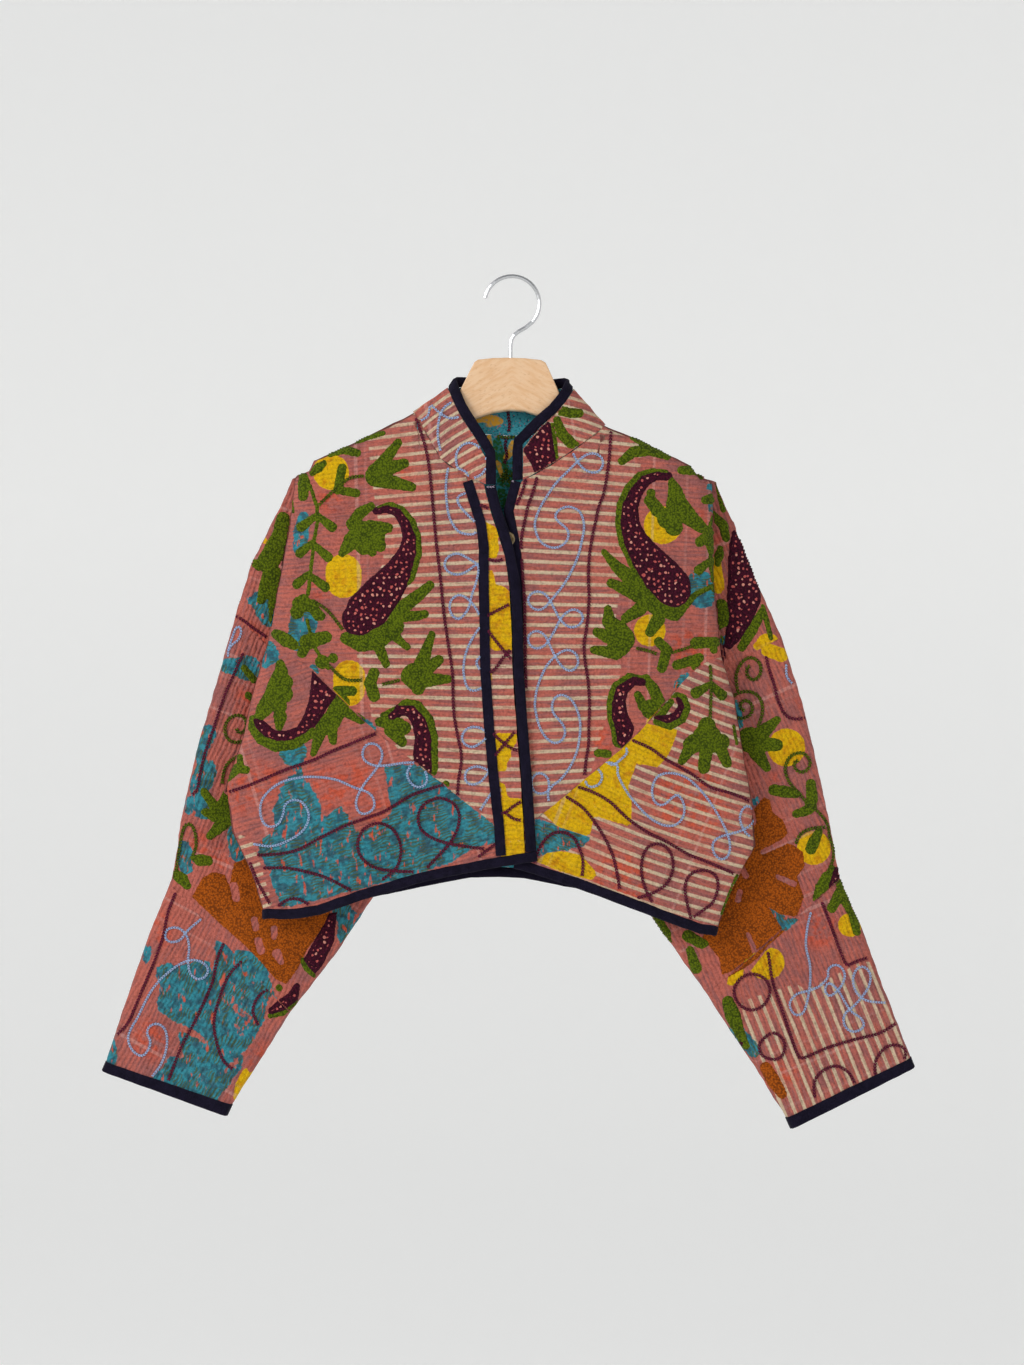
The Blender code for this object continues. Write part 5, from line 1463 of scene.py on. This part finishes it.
SLEEVE_RIGHT_MIDDLE = layout(
    Weave(230, 780, -68),
    yellow="300 800 18;340 760 14",
    teal="""228 666 8,248 668 13;208 733 8,202 748 7,200 756 6;206 771 11,200 786 11;196 806 12,206 812 8;
    236 833 9,238 852 9;184 845 6,186 866 8;340 908 8,350 922 12,344 936 8;240 980 30,262 1020 20;
    280 720 14""",
    warm="200 842 14,222 860 12;246 700 12",
    green=(shapes("""244 668 3.5,254 680 3.5;248 695 3.5,251 698 3;232 818 8,214 816 6,205 812 4;214 806 5,
    204 792 4;222 806 6,230 790 5;210 836 4,222 824 7,232 812 7;241 766 5,245 776 4;193 858 3,200 860 6,
    208 861 5;175 874 5,182 879 6,187 886 4;300 957 2.5,307 969 3,314 976 2;279 988 3.5;270 1016 2.5,
    284 1013 2.5,296 1002 2;300 700 8,318 740 16,330 775 12;318 740 7,296 768 6;318 740 7,345 760 6""")
        + moved(RIGHT_UPPER.green[30:42], 340, 830, 60, 0.9)),
    maroon=(shapes("""328 914,337 912,335 928,334 942,328 954,322 966,315 974,308 968,303 960,310 948,
    318 934;297 986 3,292 998 6,282 1005 6,272 1011 4""")
        + moved(LEFT_UPPER.maroon[:1], 330, 770, -30, 0.8)),
    ochre="""192 897,202 878,213 872,225 875,229 886,234 863,248 858,300 870,332 905,326 923,307 950,
    297 970,286 984,275 979,260 961,240 941,220 924""",
    bare="""234 886 4,236 898 4;254 920 3.5,256 928 3.5;274 929 3.5,274 937 3;258 941 4,261 951 4;
    277 954 5,281 962 3""",
    maroon_lines="""243 653,232 678,223 700,213 730,205 753,200 775,197 790,190 796;176 888,172 904,
    166 924""",
    green_lines="""248 738,240 742,230 741,225 733,226 723,233 716,242 716,246 722,245 730,239 733,
    236 728;246 752,236 757,227 764,223 774,222 786;176 872,180 846,184 828,190 824,195 832,196 846,
    192 857;322 790,310 830,318 870""",
    sky_lines="228 657,229 648,233 636,236 628,240 627,241 633,238 640,232 645,229 650",
)

SLEEVE_RIGHT_CUFF = layout(
    Weave(190, 980, -62),
    yellow="246 1072 4,241 1086 6,238 1097 5",
    teal="""155 968,167 963,180 966,197 960,214 963,217 955,213 939,227 945,243 945,260 960,281 979,
    277 990,267 1003,263 1023,253 1043,243 1053,242 1067,228 1087,215 1105,146 1084,160 1070,170 1056,
    183 1058,178 1034,190 1028,177 1023,156 1010,160 990;147 950 5,146 962 3;111 1044 5,110 1062 6""",
    warm="160 930 16;150 1040 20;262 1060 18",
    green="270 1016 2.5,284 1013 2.5,293 1004 2",
    maroon="297 986 3,292 998 6,282 1005 6,272 1011 4",
    maroon_lines="""178 887,168 913,163 937,155 960,148 977,137 1003,128 1023,117 1035;228 935,218 957,
    212 983,197 1017,180 1050,167 1085;255 954,240 963,228 977,220 997,214 1020,216 1040,223 1060,
    235 1071;277 988,263 992,255 1002,253 1013,259 1027""",
    sky_lines="""220 926,210 922,206 914,200 920,188 930,180 940,170 942,165 937,168 929,178 928,186 935,
    189 947,188 960,190 973,197 979,205 977,208 969,203 963,193 960,180 964,163 977,150 993,138 1017,
    132 1027,128 1038,132 1050,142 1056,149 1048,150 1040,147 1033,150 1026,158 1024,165 1030,167 1043,
    163 1060,155 1073,148 1081""",
    bare="""229 1001 1.5,238 1010 3.5,250 1018 2;186 1030 3,198 1036 3,208 1044 1.5;236 1024 1.5,
    240 1034 2;226 1072 2,236 1060 3""",
)

SLEEVE_LEFT_UPPER = layout(
    Weave(750, 620, 68),
    yellow=(shapes("716 560 5,719 588 6;757 646 4,768 645 12,780 652 8;850 600 16;680 560 14")
        + shapes("676 545 17;632 640 14;706 650 12")),
    teal="840 560 14;690 590 12;724 640 5",
    warm="720 540 8;850 640 14",
    green=(shapes("""762 612 4,752 630 5.5,742 647 4.5;771 638 2.4,767 622 2.8,763 606 2;721 606 7,
    725 620 7;719 640 5;800 560 8,830 600 16,850 640 12;830 600 7,808 630 6;700 620 10,690 660 10;
    690 640 6,712 668 5""")
        + moved(RIGHT_UPPER.green[30:45], 640, 650, -10, 1.0, True)
        + moved(RIGHT_UPPER.green[:9], 700, 520, 60, 1.0, True)),
    maroon=(shapes("735 533 3,737 546 8,741 560 13,744 578 16,744 598 17,740 618 13,733 636 8,729 644 5")
        + moved(LEFT_UPPER.maroon[:1], 668, 600, -16)),
    maroon_lines="762 654,770 646,780 640",
    sky_lines="774 660,778 653,784 650",
    green_lines="850 640,840 680,846 720;690 700,700 740,696 780",
)

SLEEVE_LEFT_MIDDLE = layout(
    Weave(780, 780, 66),
    yellow="768 650 7,782 655 7;786.5 747.6 19;814 848 17;760 970 18;845 920 8;858 935 5;700 870 18",
    teal="735 704 4.5,740 725 4.5;755 801 5;768 906,779 914,798 920,784 934;736 1030 7,752 1050 8",
    warm="806 700 10;800 900 14;775 780 8",
    green=(shapes("""750 740 13;762 733 8,777 720 4;762 744 8,777 745 6;757 753 8,767 768 4;731 661 4;
    774 790 5.5,786 792 6,797 794 4;811 784 5,812 799 6,809 810 5;796 814 4,806 811 5,812 807 5;
    811 849 5.5,814 842 6,819 832 4;826 876 4,821 888 6,818 899 5;832 868 3,824 886 6,818 900 4;838 884 5,
    846 900 6,852 920 4;652 914 6,664 934 7,668 942 4;688 936 6,702 944 5,712 940 3;690 950 4,696 968 6;
    728 1002 6,733 1016 8,740 1034 5,746 1046 4""")
        + moved(RIGHT_UPPER.green[30:42], 690, 840, -60, 0.9, True)),
    maroon=(shapes("837 872 5,832 886 4;742 1043 3.5")
        + moved(RIGHT_UPPER.maroon[:1], 700, 770, 30, 0.8)),
    ochre="""752 812,757 806,764 797,770 800,773 813,783 820,788 833,780 842,793 845,803 852,805 866,
    797 877,800 886,804 897,797 917,779 914,768 906,784 932,768 945,757 960,745 966,722 975,719 958,
    702 937,716 920,735 880,745 850;785 1095 7,774 1080 5""",
    bare="""748 934 2,757 956 3;763 852 2.5,784 842 3;778 877 2.5,794 884 3;742 868 3,746 876 3;740 892 3,
    738 900 3""",
    maroon_lines="766 656,769 668,774 684,778 700,785 714,794 719,806 718",
    sky_lines="786 664,787 677,793 684",
    green_lines="""738 692,736 676,742 662,752 657.5,760 664,760.5 674,754 680,747.5 676,747 668,
    752 665.5;726 663,734 661,742 660;758 727,762.5 713,761 700,752 692,738 693,729.5 702,730 713,
    740 718.5,750 715,752.5 707,747 700.5,740.5 703,741 709,746 711;800 794,790 783,785 769,791 756,
    803 753,810 762,806 771,797.5 771,794 764,798.5 760;799 793,808 804,818 812,827 824,829 836,833 849,
    832 862,826 876;796 844,800 835,810 829,828 827;696 780,704 820,698 860""",
)

SLEEVE_LEFT_CUFF = layout(
    Weave(800, 1000, 68, 0.0, 0.0, shapes("740 1002,796 984,806 990,862 962,882 962,930 1080,780 1140")),
    yellow="""850 925 12;768 948,775 948,782 953,785 961,784 968,779 976,773 979,766 980,758 978,750 972;
    731 981 5,742 973 4""",
    warm="820 930 20;780 1080 20",
    teal="798 920,784 934,776 926,790 912;736 1030 7,752 1050 8",
    green="""840 880 5,846 898 7,853 913 5,857 932 4;842 890 6,832 908 5;728 1002 6,733 1016 8,740 1034 5,
    746 1046 4""",
    maroon="742 1043 3.5",
    ochre="""766 1068 6,774 1082 7,782 1094 5;790 922,784 932,768 946,757 959,745 968,722 981,712 965,
    740 935,776 905""",
    maroon_lines="""768 952,773 983,783 1013,790 1034,797 1053,803 1058,827 1048,853 1040,880 1033,
    898 1022;822 902,830 923,840 950,847 965,855 962,870 957;752 974,765 979,770 992,764 1005,751 1010,
    739 1004,734 991,740 979,752 974;772 1033,782 1038,785 1048,780 1058,770 1059,761 1054,760 1043,
    772 1033;815 1098,814 1084,820 1073,835 1066,848 1072,856 1086;875 1075,876 1060,885 1048,896 1045,
    905 1050,904 1062""",
    sky_lines="""811 912,807 930,806 947,810 965,810 985,807 1002,803 1013,796 1015,791 1010,790 1002,
    797 994,808 991,820 986,828 977,828 970,834 965,841 967,845 975,842 985,835 993,829 996,825 990,
    829 983,838 990,845 1002,852 1012,861 1018,864 1026,858 1031,850 1031,844 1024,845 1014,854 1006,
    862 997,869 986,870 974,864 967,857 969,853 980,857 993,868 1001,888 1003""",
)

BACK_UPPER = layout(
    Weave(512, 600, 0.0, 0.0, 0.0, shapes("470 380,566 380,560 760,464 760")),
    yellow="430 560 17;604 640 17;420 700 15;610 500 14",
    teal="430 620 9;610 580 9;590 700 12;450 480 9",
    warm="430 640 30;600 540 30",
    green=(moved(RIGHT_UPPER.green[18:28], 588, 585, 0, 1.0, True)
        + moved(LEFT_UPPER.green[8:20], 606, 610)
        + moved(RIGHT_UPPER.green[:9], 430, 470)
        + moved(RIGHT_UPPER.green[38:45], 440, 690)
        + shapes("""512 470 8,500 450 5;512 470 8,524 450 5;512 470 8,512 440 5;440 520 6,424 500 5;
    440 520 6,456 500 5;430 640 6,412 660 6;430 640 6,452 656 6;600 690 7,622 680 6;600 690 7,590 716 6""")),
    maroon=(moved(RIGHT_UPPER.maroon[:1], 590, 580, 0, 1.0, True)
        + moved(RIGHT_UPPER.maroon[1:2], 450, 590)),
    maroon_lines="462 440,468 520,460 600,466 680,462 780;568 440,562 520,570 600,562 680,568 780",
    sky_lines=(shapes("""490 470,500 490,520 486,528 504,512 520,498 540,510 560,528 566,530 586,512 596,
    496 610,500 632,520 640,530 660,516 676,500 690,506 712,524 720""")
        + moved(LEFT_UPPER.sky_lines[:1], 590, 690, 8, 0.8)),
    green_lines="440 520,436 570,440 620,430 660;600 660,604 690,596 720",
)

BACK_LOWER = layout(
    Weave(512, 820, 8, 0.0003, 0.0, shapes("512 600,900 600,900 960,512 960")),
    yellow="560 760,640 742,668 770,640 800,590 812,556 790;330 800 20,352 812 16",
    teal="330 860 26,380 850 30,430 870 22;620 860 20,650 872 12;480 780 16,500 790 14",
    warm="420 800 40;360 780 30",
    green=(moved(LEFT_LOWER.green[:8], 690, 800)
        + shapes("410 780 5,430 764 6;410 780 5,396 762 5;360 900 6,376 886 6")),
    maroon_lines="""280 820,340 800,420 806,500 786,580 800,660 790,740 810;300 880,350 868,380 850,
    390 834,376 826,366 840,380 862,420 880,460 870,484 848,476 834,462 846,474 868,520 884,560 872,
    584 850,574 836,562 850,578 872,640 884,700 870""",
    sky_lines="""300 840,330 824,350 836,340 850,360 860,420 830,460 812,520 830,560 818,600 836,590 850,
    610 856,680 830""",
    green_lines="680 770,686 800;410 780,420 806",
)

TACKS = {
    "front_edge_binding_right": layout(pale_lines="484 486.5,489 487,495 486.5"),
    "front_edge_binding_left": layout(pale_lines="509 481.5,515 481,522 480.5"),
}

FRONT_CREASES = creases("""330 470 372 640 16 1.8; 300 520 330 700 14 -1.6; 420 450 400 620 20 1.3;
    690 480 655 640 16 1.8; 712 560 690 690 14 -1.6; 610 440 620 600 22 1.3; 560 500 565 760 20 0.9;
    460 500 455 760 18 -1.0; 290 690 350 760 16 1.6; 700 680 650 730 16 1.6; 340 800 460 850 18 2.0;
    300 860 420 880 14 -1.5; 640 780 690 880 15 -2.4; 600 800 640 880 13 1.8; 700 770 730 850 14 1.6;
    262 800 300 880 14 -1.5; 560 820 580 870 12 1.2; 380 430 340 560 12 -1.1; 640 430 690 560 12 -1.1;
    400 640 430 770 14 1.2; 600 620 580 760 14 -1.1; 350 660 400 790 10 -0.9; 660 600 700 720 12 1.2;
    250 640 290 760 10 1.2; 730 640 700 740 10 1.2""")
SLEEVE_CREASES = creases("""250 560 225 720 13 2.4; 270 620 245 760 10 -2.2; 215 700 190 860 13 2.3;
    240 760 214 880 11 -2.2; 205 880 262 930 13 2.2; 180 900 140 1040 15 2.1; 220 950 190 1080 15 -2.2;
    262 970 234 1080 13 1.8; 150 940 124 1030 11 -1.8; 300 900 262 1000 13 2.0; 760 560 782 700 13 2.4;
    742 620 760 760 10 -2.2; 790 700 822 860 13 2.3; 770 760 800 880 11 -2.2; 812 880 748 930 13 2.2;
    840 900 880 1030 15 2.1; 800 950 830 1080 15 -2.2; 758 980 790 1090 13 1.8; 868 940 894 1030 11 -1.8;
    716 900 750 1010 13 2.0; 232 640 208 700 8 1.6; 196 800 176 900 8 -1.6; 236 820 200 845 8 1.5;
    160 1000 140 1080 9 1.4; 250 1000 240 1070 8 -1.4; 776 640 800 690 8 1.6; 828 800 846 900 8 -1.6;
    790 830 824 850 8 1.5; 864 1000 880 1070 9 1.4; 774 1010 790 1070 8 -1.4""")
BACK_CREASES = creases("""450 480 470 700 20 -1.0; 560 500 545 700 20 1.0; 512 600 520 860 18 -1.3;
    400 780 430 900 16 1.3; 620 760 600 900 16 -1.3; 380 480 400 640 16 1.2; 640 480 620 660 16 -1.2;
    480 700 470 880 14 1.0; 560 720 580 880 14 1.1; 340 600 380 740 14 -1.1; 690 600 660 740 14 1.2""")


@dataclass
class Stage:
    """The floor, backdrop, light and camera."""

    floor: float = -1.75
    radius: float = 7.0
    bend: float = 2.0
    bend_steps: int = 14
    top: float = 4.5
    turns: int = 64
    pale: tuple = srgb(230, 230, 229)
    glow: float = 0.325
    sky: tuple = (0.95, 0.97, 1.0, 1.0)
    sky_strength: float = 0.36
    key: tuple = ((-2.3, -2.2, 1.15), 1.3, 59.0)
    fill: tuple = ((2.2, -2.4, -0.4), 2.6, 5.0)
    lens: float = 63.8
    sensor: float = 36.0
    far: float = 60.0
    aim: tuple[float, float, float] = (0.0, 0.0, -0.42)

    def build(self) -> None:
        """Makes the camera and the lights first, then the stage."""
        scene = bpy.context.scene
        camera = bpy.data.objects.new("camera", bpy.data.cameras.new("camera"))
        scene.collection.objects.link(camera)
        camera.location = EYE
        camera.rotation_euler = (math.pi / 2, 0.0, 0.0)
        camera.data.lens = self.lens
        camera.data.sensor_width = self.sensor
        camera.data.clip_end = self.far
        scene.camera = camera
        self.light("key", *self.key)
        self.light("fill", *self.fill)
        world = bpy.data.worlds.new("studio")
        world.use_nodes = True
        background = world.node_tree.nodes["Background"]
        background.inputs["Color"].default_value = self.sky
        background.inputs["Strength"].default_value = self.sky_strength
        scene.world = world
        scene.view_settings.view_transform = "Standard"
        self.backdrop()
        LOG.info("stage: camera, two lights and floor")

    def light(self, name: str, place: tuple[float, float, float], size: float, watts: float) -> None:
        """Adds a soft area light that is aimed at the jacket.

        Args:
            name: the lamp's name.
            place: where it stands, in metres.
            size: its width in metres.
            watts: its power.
        """
        data = bpy.data.lights.new(name, "AREA")
        data.size = size
        data.energy = watts
        lamp = bpy.data.objects.new(name, data)
        bpy.context.scene.collection.objects.link(lamp)
        lamp.location = place
        lamp.rotation_euler = (Vector(self.aim) - Vector(place)).to_track_quat("-Z", "Y").to_euler()

    def backdrop(self) -> None:
        """A plain pale floor that curves up into a round wall, far from the jacket on all sides."""
        nodes = Nodes("stage")
        nodes.surface(self.pale, 1.0, Emission_Color=self.pale, Emission_Strength=self.glow,
                      Specular_IOR_Level=0.0)
        flat = self.radius - self.bend
        profile = [(0.0, self.floor), (flat, self.floor)]
        for step in range(1, self.bend_steps + 1):
            angle = step / self.bend_steps * math.pi / 2
            rise = self.bend - self.bend * math.cos(angle)
            profile.append((flat + self.bend * math.sin(angle), self.floor + rise))
        profile.append((self.radius, self.top))
        bm = bmesh.new()
        line = [bm.verts.new((radius, 0.0, z)) for radius, z in profile]
        edges = [bm.edges.new(pair) for pair in zip(line, line[1:])]
        bmesh.ops.spin(bm, geom=line + edges, cent=(0, 0, 0), axis=(0, 0, 1), angle=2 * math.pi,
                       steps=self.turns, use_merge=True)
        bmesh.ops.remove_doubles(bm, verts=bm.verts, dist=1e-4)
        bmesh.ops.recalc_face_normals(bm, faces=bm.faces)
        mesh = bpy.data.meshes.new("stage_floor")
        bm.to_mesh(mesh)
        bm.free()
        mesh.materials.append(nodes.material)
        mesh.shade_smooth()
        linked("stage_floor", mesh)


# The front's creases leave the back of the fronts calm, from the first depth to the second.
FRONT_CALM = (-8.0, 3.0)

FRONT_PIECES = (
    ("front_right_upper", (0.30, 0.42), 0.0592, RIGHT_UPPER),
    ("front_right_lower", (0.33, 0.27), 0.0414, RIGHT_LOWER),
    ("front_left_upper", (0.28, 0.42), 0.0577, LEFT_UPPER),
    ("front_left_lower", (0.32, 0.28), 0.0360, LEFT_LOWER),
    ("front_band", (0.03, 0.38), 0.0069, BAND),
)

BACK_PIECES = (
    ("back_upper", (0.50, 0.40), 0.1235, NECK_INSIDE, BACK_UPPER),
    ("back_lower", (0.55, 0.28), 0.0813, Layout(), BACK_LOWER),
)

SLEEVE_PIECES = (
    ("sleeve_right_upper", (0.62, 0.34), 0.1378, SLEEVE_RIGHT_UPPER),
    ("sleeve_right_middle", (0.45, 0.40), 0.1188, SLEEVE_RIGHT_MIDDLE),
    ("sleeve_right_cuff", (0.30, 0.24), 0.0455, SLEEVE_RIGHT_CUFF),
    ("sleeve_left_upper", (0.58, 0.34), 0.1227, SLEEVE_LEFT_UPPER),
    ("sleeve_left_middle", (0.45, 0.38), 0.1102, SLEEVE_LEFT_MIDDLE),
    ("sleeve_left_cuff", (0.32, 0.26), 0.0536, SLEEVE_LEFT_CUFF),
)

# Each binding's strip, width and length laid flat, and the creases that it follows.
BINDING_PIECES = (
    ("band_binding", (0.0106, 0.36), FRONT_CREASES),
    ("collar_binding", (0.0126, 0.35), ()),
    ("front_edge_binding_left", (0.0118, 0.38), FRONT_CREASES),
    ("front_edge_binding_right", (0.0116, 0.38), FRONT_CREASES),
    ("hem_binding_back", (0.0114, 0.50), ()),
    ("hem_binding_left", (0.0108, 0.24), FRONT_CREASES),
    ("hem_binding_right", (0.0114, 0.29), FRONT_CREASES),
    ("sleeve_left_cuff_binding", (0.014, 0.30), SLEEVE_CREASES),
    ("sleeve_right_cuff_binding", (0.0138, 0.29), SLEEVE_CREASES),
)


@dataclass
class Jacket:
    """The whole garment."""

    finishes: Finishes

    def cloths(self) -> list[ClothShell]:
        """Every cloth piece, with the size that it was cut to.

        Returns:
            The pieces in the order that they are built.
        """
        look = self.finishes
        return [
            *(ClothShell(node, look, flat, area, shown, Layout(), FRONT_CREASES, Lining.BEHIND,
                         calm=FRONT_CALM)
              for node, flat, area, shown in FRONT_PIECES),
            ClothShell("collar", look, (0.06, 0.30), 0.0136, COLLAR, COLLAR, lined=Lining.ROUND_NECK),
            *(ClothShell(node, look, flat, area, inner, outer, BACK_CREASES, Lining.BEFORE)
              for node, flat, area, inner, outer in BACK_PIECES),
            *(ClothShell(node, look, flat, area, shown, shown, SLEEVE_CREASES)
              for node, flat, area, shown in SLEEVE_PIECES),
        ]

    def bindings(self) -> list[ClothShell]:
        """Every binding, with its strip's flat size.

        Returns:
            The pieces in the order that they are built.
        """
        return [
            ClothShell(node, self.finishes, flat, flat[0] * flat[1], TACKS.get(node, Layout()),
                       creases=folds, bound=True, grid=3.6, calm=NO_CALM if "cuff" in node else FRONT_CALM)
            for node, flat, folds in BINDING_PIECES
        ]

    def build(self) -> None:
        """Builds the cloth and the bindings, and dresses the hanger, hook and button in their finishes."""
        for piece in self.cloths() + self.bindings():
            piece.build()
        solids = {"hanger": self.finishes.beech, "hook": self.finishes.steel, "button": self.finishes.horn}
        for node, material in solids.items():
            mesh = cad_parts[node].data
            mesh.materials.clear()
            mesh.materials.append(material)
            LOG.info("%s: the solid itself, dressed", node)


def main() -> None:
    """Builds the stage and the jacket."""
    logging.basicConfig(level=logging.INFO, format="%(name)s: %(message)s")
    Stage().build()
    Jacket(Finishes()).build()
    bpy.context.view_layer.update()


if __name__ == "__main__":
    main()
